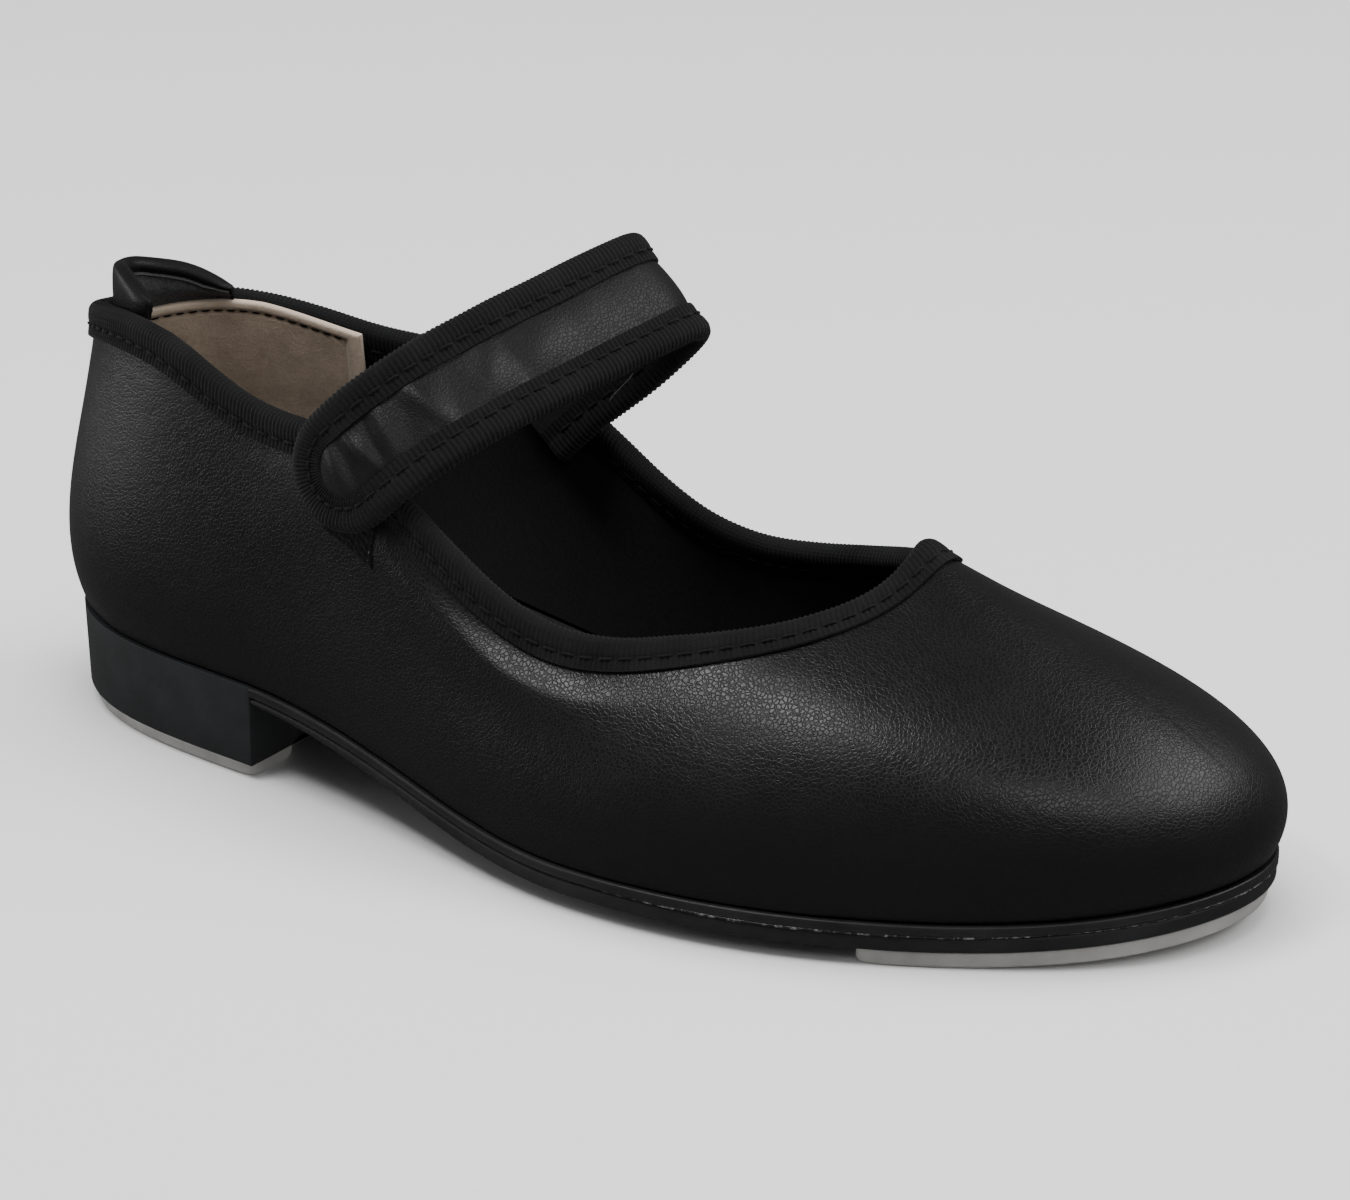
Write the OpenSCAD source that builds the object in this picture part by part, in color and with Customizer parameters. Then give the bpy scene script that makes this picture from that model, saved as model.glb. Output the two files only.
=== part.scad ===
// Child's buckle-less tap shoe, right foot: instep strap with hook-and-loop, low heel, two taps.
// +X points to the toe, +Y to the inner (medial) side, +Z up; the taps stand on z = 0.

/* [Sole and heel] */
// Thickness of the toe tap plate
toe_tap_t = 2.7; // [2.2:0.1:3]
// Thickness of the heel tap plate
heel_tap_t = 2.5; // [2.2:0.1:3]
// Thickness of the midsole
midsole_t = 1.8; // [1.4:0.1:2.2]
// Thickness of the outsole under the ball of the foot
outsole_t = 2.7; // [2.2:0.1:3.2]
// Thickness of the outsole under the waist and the heel seat
outsole_waist_t = 1.4; // [1.2:0.1:2]
// Height of the heel block
heel_h = 10.7; // [9:0.1:14]
// Lift of the toe tip above the ball
toe_spring = 3.2; // [2:0.1:4]
// Place of the heel's front face along the shoe
breast_x = -53.5; // [-58:0.5:-50]
// Place of the toe tap's rear edge along the shoe
toe_tap_x = 60; // [56:1:62]

/* [Upper] */
// Thickness of the outer material
shell_t = 1.2; // [1:0.1:1.3]
// Thickness of the toe puff and the heel counter
stiffener_t = 0.7; // [0.5:0.1:0.8]
// Thickness of the fabric lining
lining_t = 0.7; // [0.5:0.1:0.8]
// Width of the lasting margin turned under the insole board
margin_w = 8; // [6:1:10]
// Depth that the topline binding covers on each side
binding_w = 5.6; // [4:0.2:6]
// Thickness of the grosgrain binding
binding_t = 0.6; // [0.4:0.1:0.7]
// Height of the heel tab above the topline
tab_rise = 7.4; // [5:0.2:9]
// Thickness of the padded heel tab
tab_t = 3; // [2:0.5:4]

/* [Strap] */
// Width of the strap over its binding
strap_w = 20; // [18:0.5:21]
// Thickness of the strap's inner fabric
strap_lining_t = 0.7; // [0.5:0.1:0.8]
// Thickness of the strap's outer vinyl and its core
strap_cover_t = 1.1; // [0.8:0.1:1.2]
// Thickness of the hook tape and of the loop tape
tape_t = 0.8; // [0.6:0.1:0.9]
// Greatest length of the hook tape
hook_l = 24; // [18:1:26]

/* [Fixings] */
// Radius of a tap screw's head
screw_head_r = 2.8; // [2.4:0.1:3]
// Radius of a tap screw's shank
screw_r = 1.2; // [1:0.1:1.3]
// Length of a tap screw
screw_l = 6.5; // [6:0.1:7]
// Radius of a heel nail
nail_r = 0.9; // [0.7:0.1:1]

/* [Hidden] */

gap = 0.05;              // clearance between layers of one body
fold_gap = 0.15;         // clearance under the binding, which bends round the edge
ball_z = toe_tap_t + outsole_t + midsole_t;
seat_z = heel_tap_t + heel_h + outsole_waist_t + midsole_t;
ramp_x = 15;             // front end of the arch under the waist
ramp_l = 73;             // length of that arch
spring_x = 68;           // where the sole starts to lift towards the toe
toe_x = 107.5;           // toe tip
feather_in = 0.8;        // how far the upper's lower edge sits inside the sole's edge
board_t = 1.6;
sock_t = 1.2;
screw_head_h = 1.3;
screw_recess = 0.35;     // depth of a screw's head above the tap's lower face
screw_play = 0.2;        // clearance round a screw in its tap
nail_l = 13;
N = 16;                  // stations round the shoe

// One row per station, from the toe along the outer side to the heel and back along the inner side:
// sole edge x, y; topline x, y, z; bulge and rise above the sole edge; reach and fall off the topline.
STATIONS = [
    [109, 8, 50, 6.5, 54.5, 11, 21, 25, 13.5],
    [98.5, -11.5, 50, -2.5, 47.5, 9, 21, 22, 9],
    [78, -25, 41, -15.5, 44, 5, 20, 18, 7.5],
    [47, -39.5, 25, -24, 41.5, 3, 16, 10, 11.5],
    [10, -41, 3, -29.5, 37.5, 2, 14, 6, 14],
    [-25.5, -29.5, -27, -27, 61, 1, 14, 2.5, 16],
    [-57, -24.5, -46, -22.5, 63, 3, 14, 2.5, 18],
    [-92, -20, -83.5, -17.8, 73, 7, 13.5, 2, 18.5],
    [-111.5, 3.5, -110, 2.4, 62.5, 8, 15, 2, 20.5],
    [-93, 27.5, -88, 21, 67.2, 5, 14.5, 1, 18],
    [-60, 28.5, -59, 24, 59.5, 2, 14, 2, 16],
    [-27, 26, -30, 24.5, 64, 0.5, 14, 2, 16],
    [12, 29.5, -3, 26, 38, 0, 14, 4, 13.5],
    [51.5, 41, 20, 26.5, 39, 2, 16, 8, 12.5],
    [83.5, 39.5, 40, 20.5, 44.5, 6, 19, 14, 12.5],
    [103.5, 26.5, 48.5, 12.5, 47.5, 11, 20, 21, 12.5]];

// Strap's path on its inner face, from the rounded end over the instep to the sewn inner end.
STRAP = [
    [-42.2, -29.8, 44.8], [-36.2, -29.9, 51.4], [-30, -29.4, 58.8], [-22.8, -25.6, 66.1], [-17, -14.5, 71],
    [-12.5, -2, 74], [-9, 11.5, 76.5], [-6.5, 23.5, 78], [-10.5, 28, 74], [-16.5, 25.5, 67],
    [-24, 20, 60.5], [-30, 17, 54], [-35, 16.5, 48]];

function smooth(v) = let (c = min(1, max(0, v))) c*c*(3 - 2*c);
function mix(a, b, f) = a + (b - a)*f;
function unit(v) = v/norm(v);

// Weights of a uniform cubic B-spline at u, for the four points around it
function weights(u) = [pow(1 - u, 3), 3*pow(u, 3) - 6*u*u + 4, -3*pow(u, 3) + 3*u*u + 3*u + 1, pow(u, 3)]/6;
function loop_at(list, t) = let (n = len(list), k = floor(t), w = weights(t - k))
    w[0]*list[(k - 1 + 2*n) % n] + w[1]*list[(k + 2*n) % n]
    + w[2]*list[(k + 1 + 2*n) % n] + w[3]*list[(k + 2 + 2*n) % n];
function run_at(list, t) = let (k = min(floor(t), len(list) - 4), w = weights(t - k))
    w[0]*list[k] + w[1]*list[k + 1] + w[2]*list[k + 2] + w[3]*list[k + 3];

// Height of the line where upper and sole meet, and of the layers under it
function spring_z(x) = toe_spring*pow(max(0, x - spring_x)/(toe_x - spring_x), 2);
function feather_z(x) = ball_z + (seat_z - ball_z)*smooth((ramp_x - x)/ramp_l) + spring_z(x);
function outsole_top(x) = feather_z(x) - midsole_t;
function outsole_bottom(x) = outsole_top(x) - mix(outsole_waist_t, outsole_t, smooth((x + 60)/60));

// Plan outline of the sole, moved inwards by inset
function edge(t, inset) = let (
        a = loop_at(STATIONS, t - 0.05), b = loop_at(STATIONS, t + 0.05),
        d = unit([b[0] - a[0], b[1] - a[1]]), p = loop_at(STATIONS, t))
    [p[0] + inset*d[1], p[1] - inset*d[0]];
function edge_out(t) = let (d = edge(t, -1) - edge(t, 0)) [d[0], d[1], 0];

// The collar's dip in front of the heel, outer side
function collar(t) = let (v = (t - 6.2)/0.65) abs(v) < 1 ? -2.4*pow(1 - v*v, 2) : 0;

// Outer surface of the upper: t runs round the shoe, s from the sole's edge (0) to the topline (1)
function wall(t, s) = let (
        r = loop_at(STATIONS, t), e = edge(t, feather_in), n = edge_out(t),
        p0 = [e[0], e[1], feather_z(e[0])], p3 = [r[2], r[3], r[4] + collar(t)],
        p1 = p0 + n*r[5] + [0, 0, r[6]], p2 = p3 + n*r[7] - [0, 0, r[8]])
    pow(1 - s, 3)*p0 + 3*s*pow(1 - s, 2)*p1 + 3*s*s*(1 - s)*p2 + pow(s, 3)*p3;
function wall_out(t, s) = let (lo = min(s, 0.99))
    unit(cross(wall(t, lo + 0.01) - wall(t, lo), wall(t + 0.02, lo) - wall(t - 0.02, lo)));
// Point at depth d under the outer surface
function skin(t, s, d) = wall(t, s) - wall_out(t, s)*d;
// Place on the wall at a distance below the topline
function down(t, dist) = 1 - dist/(norm(wall(t, 1) - wall(t, 0.9))*10);

// How far the stiffeners push the lining inwards: 1 over the toe puff or the heel counter, else 0
function at_toe(t) = let (a = abs(t > 8 ? t - N : t)) smooth((2.2 - a)/0.6);
function at_heel(t) = smooth((1.9 - abs(t - 8))/0.4);
function lining_d(t, s) = shell_t + gap
    + (stiffener_t + gap)*max(at_toe(t)*smooth((0.62 - s)/0.12), at_heel(t)*smooth((0.86 - s)/0.1));

// Closed solid between an outer and an inner grid of points; loop joins the last row to the first
module slab(outer, inner, loop = false) {
    rows = len(outer);
    cols = len(outer[0]);
    last = loop ? rows - 1 : rows - 2;
    function o(i, j) = (i % rows)*cols + j;
    function n(i, j) = rows*cols + (i % rows)*cols + j;
    function quad(a, b, c, d) = [[a, b, c], [a, c, d]];
    faces = [
        for (i = [0:last], j = [0:cols - 2])
            each quad(o(i, j), o(i + 1, j), o(i + 1, j + 1), o(i, j + 1)),
        for (i = [0:last], j = [0:cols - 2])
            each quad(n(i, j), n(i, j + 1), n(i + 1, j + 1), n(i + 1, j)),
        for (i = [0:last])
            each quad(o(i, cols - 1), o(i + 1, cols - 1), n(i + 1, cols - 1), n(i, cols - 1)),
        for (i = [0:last])
            each quad(o(i, 0), n(i, 0), n(i + 1, 0), o(i + 1, 0)),
        if (!loop) for (j = [0:cols - 2]) each quad(o(0, j), o(0, j + 1), n(0, j + 1), n(0, j)),
        if (!loop) for (j = [0:cols - 2])
            each quad(o(rows - 1, j), n(rows - 1, j), n(rows - 1, j + 1), o(rows - 1, j + 1))];
    polyhedron([each [for (r = outer) each r], each [for (r = inner) each r]], faces);
}

// Closed ring or strip swept from a list of cross-sections with the same number of points
module sweep(sections, loop = false) {
    rows = len(sections);
    cols = len(sections[0]);
    last = loop ? rows - 1 : rows - 2;
    function q(i, j) = (i % rows)*cols + j % cols;
    faces = [
        for (i = [0:last], j = [0:cols - 1])
            each [[q(i, j), q(i + 1, j), q(i + 1, j + 1)], [q(i, j), q(i + 1, j + 1), q(i, j + 1)]],
        if (!loop) [for (j = [0:cols - 1]) j],
        if (!loop) [for (j = [cols - 1:-1:0]) q(rows - 1, j)]];
    polyhedron([for (s = sections) each s], faces);
}

// Foot-shaped sheet between heights lo(x) and hi(x), from station t0 to t1 on each side
module sheet(inset, lo, hi, t0 = 0.03, t1 = 7.97, rows = 30, cols = 4) {
    function across(t, j) = mix(edge(t, inset), edge(N - t, inset), j/cols);
    function row(t, f) = [for (j = [0:cols]) let (p = across(t, j)) [p[0], p[1], f(p[0])]];
    ts = [for (i = [0:rows]) mix(t0, t1, i/rows)];
    slab([for (t = ts) row(t, hi)], [for (t = ts) row(t, lo)]);
}

// Part of the wall between depths d0 (outer) and d1, s running between two limits
module wall_patch(ts, s_lo, s_hi, d0, d1, cols, loop = false) {
    function row(t, d) = [for (j = [0:cols]) let (s = mix(s_lo(t), s_hi(t), j/cols)) skin(t, s, d(t, s))];
    slab([for (t = ts) row(t, d0)], [for (t = ts) row(t, d1)], loop);
}

module plan(inset) {
    polygon([for (i = [0:79]) edge(i*N/80, inset)]);
}

// ---------------------------------------------------------------- sole unit
module outsole() {
    color([0.07, 0.07, 0.08])
        sheet(0.2, function(x) outsole_bottom(x), function(x) outsole_top(x) - gap);
}

module midsole() {
    color([0.09, 0.09, 0.1])
        sheet(0, function(x) outsole_top(x), function(x) feather_z(x) - gap);
}

module heel_block() {
    color([0.06, 0.06, 0.08])
        translate([0, 0, heel_tap_t])
            linear_extrude(heel_h - 3*gap)
                difference() {
                    plan(0.5);
                    translate([breast_x, -60]) square([200, 120]);
                    translate([breast_x + 78, 4]) circle(r = 80, $fn = 96);
                }
}

TOE_SCREWS = [[66, -17], [67, 26], [94, 7]];
HEEL_SCREWS = [[-64, -12], [-64, 18], [-94, 3.5]];
NAILS = [[-71, -11], [-71, 18], [-89, -7], [-89, 14], [-83, 3.5]];

module screw_holes(places, plate_t) {
    for (p = places)
        translate([p[0], p[1], spring_z(p[0])]) {
            translate([0, 0, -1]) cylinder(r = screw_r + screw_play, h = plate_t + 2, $fn = 32);
            translate([0, 0, -1])
                cylinder(r = screw_head_r + screw_play, h = screw_recess + screw_head_h + gap + 1, $fn = 48);
        }
}

module screws(places) {
    for (p = places)
        translate([p[0], p[1], spring_z(p[0]) + screw_recess]) {
            cylinder(r = screw_head_r, h = screw_head_h, $fn = 48);
            cylinder(r = screw_r, h = screw_l, $fn = 32);
        }
}

// Plate under the toe: foot-shaped front, hollowed rear edge, bent up with the toe spring
module toe_tap() {
    xs = [for (i = [0:10]) mix(spring_x, toe_x + 1, i/10)];
    color([0.72, 0.7, 0.67])
        difference() {
            intersection() {
                linear_extrude(20, center = true)
                    difference() {
                        plan(1.2);
                        translate([toe_tap_x - 200, -60]) square([200, 120]);
                        translate([toe_tap_x - 36, 4]) circle(r = 44, $fn = 96);
                    }
                rotate([90, 0, 0])
                    linear_extrude(120, center = true)
                        polygon([
                            [toe_tap_x - 5, 0], for (x = xs) [x, spring_z(x)],
                            for (i = [10:-1:0]) [xs[i], spring_z(xs[i]) + toe_tap_t - gap],
                            [toe_tap_x - 5, toe_tap_t - gap]]);
            }
            screw_holes(TOE_SCREWS, toe_tap_t);
        }
}

module heel_tap() {
    color([0.72, 0.7, 0.67])
        difference() {
            linear_extrude(heel_tap_t - gap)
                difference() {
                    plan(1.4);
                    translate([breast_x - 1, -60]) square([200, 120]);
                    translate([breast_x + 16, 4]) circle(r = 24, $fn = 96);
                }
            screw_holes(HEEL_SCREWS, heel_tap_t);
        }
}

module toe_tap_screws() {
    color([0.6, 0.6, 0.6]) screws(TOE_SCREWS);
}

module heel_tap_screws() {
    color([0.6, 0.6, 0.6]) screws(HEEL_SCREWS);
}

// Nails driven down from the insole board into the heel block
module heel_nails() {
    head_h = 0.6;
    color([0.55, 0.53, 0.5])
        for (p = NAILS)
            translate([p[0], p[1], seat_z + shell_t + board_t + 2*gap - nail_l]) {
                cylinder(r = nail_r, h = nail_l, $fn = 24);
                translate([0, 0, nail_l - head_h]) cylinder(r = 2*nail_r, h = head_h, $fn = 32);
            }
}

module insole_board() {
    color([0.62, 0.5, 0.36])
        sheet(feather_in + shell_t + 0.3, function(x) feather_z(x) + shell_t + gap,
            function(x) feather_z(x) + shell_t + gap + board_t);
}

// Spring steel bar under the board, between the lasting margins of the waist
SHANK = [14, -76];       // front and rear end
SHANK_Y = [-1, 4, 9];
module steel_shank() {
    function face(lift) = [
        for (i = [0:14]) let (x = mix(SHANK[0], SHANK[1], i/14)) [
            for (y = SHANK_Y) [x, y, feather_z(x) + lift]]];
    color([0.5, 0.52, 0.55]) slab(face(gap + 1), face(gap));
}

module shank_rivets() {
    color([0.6, 0.58, 0.5])
        for (x = [SHANK[0] - 6, SHANK[1] + 10])
            translate([x, SHANK_Y[1], feather_z(x) + gap])
                cylinder(r = 1.5, h = shell_t + board_t - gap, $fn = 32);
}

module bottom_filler() {
    color([0.45, 0.36, 0.26])
        sheet(margin_w + 4, function(x) feather_z(x) + 0.1, function(x) feather_z(x) + shell_t - 0.1,
            t0 = 0.6, t1 = 3.6, rows = 12);
}

module sock_liner() {
    color([0.09, 0.09, 0.1])
        sheet(feather_in + shell_t + stiffener_t + lining_t + 1.1,
            function(x) feather_z(x) + shell_t + board_t + 2*gap,
            function(x) feather_z(x) + shell_t + board_t + 2*gap + sock_t);
}

// ---------------------------------------------------------------- upper
LOOP = [for (i = [0:63]) i*N/64];
SHELL_TOP = 0.5;     // how far the raw edges stop below the binding's fold
COLS = 10;           // rows of facets up the wall, shared by every layer
function s_at(t, j) = down(t, SHELL_TOP)*j/COLS;
// Stretch of the wall's own stations between two quarter stations
function quarters(a, b) = [for (i = [0:round((b - a)*4)]) a + i/4];

// Outer shell, with its lasting margin turned in under the insole board
module upper_shell() {
    function margin(t, w, z) = let (e = edge(t, w)) [e[0], e[1], feather_z(e[0]) + z];
    outer = [for (t = LOOP) [
        margin(t, feather_in + margin_w, gap), for (j = [0:COLS]) skin(t, s_at(t, j), 0)]];
    inner = [for (t = LOOP) [
        margin(t, feather_in + margin_w, shell_t), margin(t, feather_in + shell_t, shell_t),
        for (j = [1:COLS]) skin(t, s_at(t, j), shell_t)]];
    color([0.13, 0.125, 0.135]) slab(outer, inner, loop = true);
}

module toe_puff() {
    color([0.8, 0.78, 0.7])
        wall_patch(quarters(-1.5, 1.5), function(t) s_at(t, 1), function(t) s_at(t, 5),
            function(t, s) shell_t + gap, function(t, s) shell_t + gap + stiffener_t, 4);
}

module heel_counter() {
    color([0.78, 0.74, 0.66])
        wall_patch(quarters(6.5, 9.5), function(t) s_at(t, 1), function(t) s_at(t, 7),
            function(t, s) shell_t + gap, function(t, s) shell_t + gap + stiffener_t, 6);
}

module upper_lining() {
    color([0.05, 0.05, 0.055])
        wall_patch(LOOP, function(t) s_at(t, 1), function(t) s_at(t, COLS),
            function(t, s) lining_d(t, s), function(t, s) lining_d(t, s) + lining_t, COLS - 1, loop = true);
}

// Depth of the lining's inner face at the topline, where the binding folds over it
edge_d = shell_t + gap + lining_t;

module topline_binding() {
    function sec(t) = let (
            a = down(t, binding_w), m = down(t, binding_w/2), up = unit(wall(t, 1) - wall(t, 0.97)),
            n = wall_out(t, 1), top = wall(t, 1), i = edge_d + fold_gap, o = -fold_gap,
            under = -up*(SHELL_TOP - fold_gap))
        [skin(t, a, o), skin(t, a, o - binding_t), skin(t, m, o - binding_t),
            top - n*(o - binding_t) - up*0.5, top - n*o, top - n*i, top - n*(i + binding_t) - up*0.5,
            skin(t, m, i + binding_t), skin(t, a, i + binding_t), skin(t, a, i),
            skin(t, m, i), top - n*i + under, top - n*o + under, skin(t, m, o)];
    color([0.06, 0.06, 0.065]) sweep([for (t = LOOP) sec(t)], loop = true);
}

tab_d = edge_d + fold_gap + binding_t + 0.35;
lay_d = tab_d + 0.6;
PATCH = [for (i = [0:40]) mix(6.35, 9.85, i/40)];

// Distance of the suede's cut edge below the topline: it rises to a peak at the inner end of the tab
function patch_drop(t) = let (a = abs(t - 8.1))
    t < 8.1 ? mix(2.1, 2.7, min(1, a)) : a < 1.1 ? mix(2.1, 0.4, a/1.1) : mix(0.4, 0.8, a - 1.1);

// Suede patch inside the heel
module heel_lining_patch() {
    color([0.45, 0.38, 0.3])
        wall_patch(PATCH, function(t) 0.2, function(t) down(t, patch_drop(t)),
            function(t, s) lay_d, function(t, s) lay_d + 0.7, 5);
}

// Section of the padded arch that stands over the topline at the back of the heel
function pad_section(t, skin_in, flange) = let (
        a = abs(t - 8.056)/1.05, rise = tab_rise*(1 - pow(a, 2.2)) - skin_in,
        low = 0.25 - patch_drop(t) + skin_in, top = wall(t, 1), n = edge_out(t),
        d0 = tab_d + skin_in, d1 = tab_d + tab_t - skin_in, r = (d1 - d0)/2,
        arc = [for (k = [0:5]) let (q = 180*k/5) [d0 + r - r*cos(q), rise - r + r*sin(q)]])
    concat([top - n*d1 + [0, 0, low], top - n*(d0 + 0.45) + [0, 0, low]], flange,
        [for (p = concat([[d0, low]], arc)) top - n*p[0] + [0, 0, p[1]]]);

// Thin flange of the tab, between the topline's ribbon and the suede
function pad_flange(t) = [for (p = [[3.2, 0.45], [6.5, 0.45], [6.5, 0], [3.2, 0]])
    skin(t, down(t, p[0]), tab_d + p[1])];

function pad_rows(t0, t1) = concat([t0], [for (t = PATCH) if (t > t0 + 0.04 && t < t1 - 0.04) t], [t1]);

module heel_tab() {
    color([0.12, 0.12, 0.13])
        difference() {
            sweep([for (t = pad_rows(PATCH[9], PATCH[30])) pad_section(t, 0, pad_flange(t))]);
            sweep([for (t = pad_rows(7.22, 8.892)) pad_section(t, 0.6, [])]);
        }
}

module heel_tab_foam() {
    color([0.85, 0.82, 0.6])
        sweep([for (t = pad_rows(7.24, 8.872)) pad_section(t, 0.65, [])]);
}

// ---------------------------------------------------------------- strap
FOLD = 6.35;         // place of the fold along the path
ROOT = 9;            // place of the stitch line along the path
END = 10;            // sewn inner end
HINGE_GAP = 0.5;     // space between two pieces of strap, in millimetres
strap_t = strap_lining_t + gap + strap_cover_t;

// Outer face of the strap, tape included
face_n = strap_t + gap + binding_t;

function strap_c(u) = run_at(STRAP, u);
function strap_dir(u) = unit(strap_c(min(u + 0.02, END - 0.001)) - strap_c(max(u - 0.02, 0)));
// Across the strap, rear to front: level with the outer wall at the end, along the instep further on
function strap_across(u) = let (
        lean = mix(-0.16, 0, smooth(u/5)), w = [0.7, lean, -0.7], d = strap_dir(u))
    unit(w - d*(w*d));
function strap_out(u) = cross(strap_across(u), strap_dir(u));
function strap_at(u, y, n) = strap_c(u) + strap_across(u)*y + strap_out(u)*n;
// Half the strap's width at a place along it: a half-round end, then parallel sides
function half_w(u, w) = let (d = norm(strap_c(u) - strap_c(0)), r = w/2)
    d >= r ? r : sqrt(max(0.04, r*r - (r - d)*(r - d)));
function step(u, mm) = mm/(norm(strap_c(u + 0.05) - strap_c(u - 0.05))*10);

module ribbon(us, w, n0, n1) {
    cols = 4;
    function row(u, n) = let (h = half_w(u, w)) [for (j = [0:cols]) strap_at(u, mix(-h, h, j/cols), n)];
    slab([for (u = us) row(u, n1)], [for (u = us) row(u, n0)]);
}

// U-shaped tape over one long edge; side is -1 for the rear edge and 1 for the front edge
function fold_over(u, y, e, lap) = [for (p = [
        [-lap, strap_t + gap + binding_t], [0, strap_t + gap + binding_t], [0, -gap - binding_t],
        [-lap, -gap - binding_t], [-lap, -gap], [-binding_t, -gap],
        [-binding_t, strap_t + gap], [-lap, strap_t + gap]])
    strap_at(u, y + e*p[0], p[1])];

module strap_binding(us) {
    for (side = [-1, 1])
        sweep([for (u = (side > 0 ? us : [for (i = [len(us) - 1:-1:0]) us[i]]))
            fold_over(u, side*strap_w/2, side, binding_w)]);
}

function span(a, b, n) = [for (i = [0:n]) mix(a, b, i/n)];
TIP = span(0.12, 0.9, 6);    // rows round the end, where no binding strip runs
fold_lo = FOLD - step(FOLD, HINGE_GAP/2);
fold_hi = FOLD + step(FOLD, HINGE_GAP/2);
root_lo = ROOT - step(ROOT, HINGE_GAP/2);
root_hi = ROOT + step(ROOT, HINGE_GAP/2);
core_w = strap_w - 2*(binding_t + gap);
FLAP = span(1.1, fold_lo, 16);
RISER = span(fold_hi, root_lo, 10);

module flap_cover() {
    color([0.14, 0.135, 0.145])
        ribbon(concat(TIP, FLAP), core_w, strap_lining_t + gap, strap_t);
}

module flap_lining() {
    color([0.05, 0.05, 0.055])
        ribbon(concat(TIP, FLAP), core_w, 0, strap_lining_t);
}

module flap_binding() {
    color([0.06, 0.06, 0.065]) strap_binding(FLAP);
}

// Hook tape on the same rows as the lining that it is sewn to
module hook_tape() {
    start = 0.5;
    us = [for (u = concat(TIP, FLAP)) if (u > start && norm(strap_c(u) - strap_c(start)) <= hook_l) u];
    color([0.1, 0.1, 0.1]) ribbon(us, strap_w - 2*binding_w - 1, -gap - tape_t, -gap);
}

module riser_cover() {
    color([0.14, 0.135, 0.145]) ribbon(RISER, core_w, strap_lining_t + gap, strap_t);
}

module riser_lining() {
    color([0.05, 0.05, 0.055]) ribbon(RISER, core_w, 0, strap_lining_t);
}

module riser_binding() {
    color([0.06, 0.06, 0.065]) strap_binding(RISER);
}

module strap_base() {
    color([0.08, 0.08, 0.085]) ribbon(span(root_hi, END - 0.01, 5), core_w, 0, strap_t);
}

// Loop tape sewn to the outer side of the shoe under the strap's end
module loop_tape() {
    color([0.1, 0.1, 0.1])
        wall_patch([for (i = [0:8]) mix(5, 5.6, i/8)],
            function(t) down(t, 15), function(t) down(t, binding_w + 0.6),
            function(t, s) -gap - tape_t, function(t, s) -gap, 5);
}

outsole();
midsole();
heel_block();
toe_tap();
heel_tap();
toe_tap_screws();
heel_tap_screws();
heel_nails();
insole_board();
steel_shank();
shank_rivets();
bottom_filler();
sock_liner();
upper_shell();
toe_puff();
heel_counter();
upper_lining();
heel_lining_patch();
heel_tab();
heel_tab_foam();
topline_binding();
loop_tape();
strap_base();
riser_cover();
riser_lining();
riser_binding();
flap_cover();
flap_lining();
flap_binding();
hook_tape();
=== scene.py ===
"""Child's tap shoe, right foot: pebbled upper, bound topline, instep strap, low heel and two taps.

Lengths are millimetres in the shoe's own frame (+X toe, +Y inner side, +Z up) until a mesh is made.
"""
import math

import bmesh
import bpy
import numpy as np
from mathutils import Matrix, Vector


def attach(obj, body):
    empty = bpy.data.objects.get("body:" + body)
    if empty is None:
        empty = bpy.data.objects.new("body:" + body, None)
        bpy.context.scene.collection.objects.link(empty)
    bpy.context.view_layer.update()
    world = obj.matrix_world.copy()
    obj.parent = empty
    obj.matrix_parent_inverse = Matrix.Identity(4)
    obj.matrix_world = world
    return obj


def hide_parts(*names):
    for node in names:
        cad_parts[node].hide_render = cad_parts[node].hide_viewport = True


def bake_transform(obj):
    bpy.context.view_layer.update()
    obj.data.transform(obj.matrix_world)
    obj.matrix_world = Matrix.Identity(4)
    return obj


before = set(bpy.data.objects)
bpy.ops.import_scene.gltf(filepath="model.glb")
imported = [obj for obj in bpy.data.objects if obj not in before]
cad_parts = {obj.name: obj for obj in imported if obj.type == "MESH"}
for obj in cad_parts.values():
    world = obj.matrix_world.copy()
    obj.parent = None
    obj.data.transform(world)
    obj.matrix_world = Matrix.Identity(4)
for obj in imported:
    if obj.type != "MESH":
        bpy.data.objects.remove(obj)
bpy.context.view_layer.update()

MM = 0.001
PI = math.pi

# -------- driving sizes, as in the CAD
TOE_TAP_T = 2.7
HEEL_TAP_T = 2.5
MIDSOLE_T = 1.8
OUTSOLE_T = 2.7
WAIST_T = 1.4
HEEL_H = 10.7
TOE_SPRING = 3.2
BREAST_X = -53.5
TOE_TAP_X = 60
SHELL_T = 1.2
STIFFENER_T = 0.7
LINING_T = 0.7
MARGIN_W = 8
BINDING_W = 5.6
BINDING_T = 0.6
TAB_RISE = 7.4
TAB_T = 3
STRAP_W = 20
STRAP_LINING_T = 0.7
STRAP_COVER_T = 1.1
SCREW_HEAD_R = 2.8
SCREW_R = 1.2
SCREW_L = 6.5
SCREW_HEAD_H = 1.3
SCREW_RECESS = 0.35
GAP = 0.05
FOLD_GAP = 0.15
BALL_Z = TOE_TAP_T + OUTSOLE_T + MIDSOLE_T
SEAT_Z = HEEL_TAP_T + HEEL_H + WAIST_T + MIDSOLE_T
RAMP_X = 15
RAMP_L = 73
SPRING_X = 68
TOE_X = 107.5
FEATHER_IN = 0.8
BOARD_T = 1.6
SOCK_T = 1.2

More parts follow.
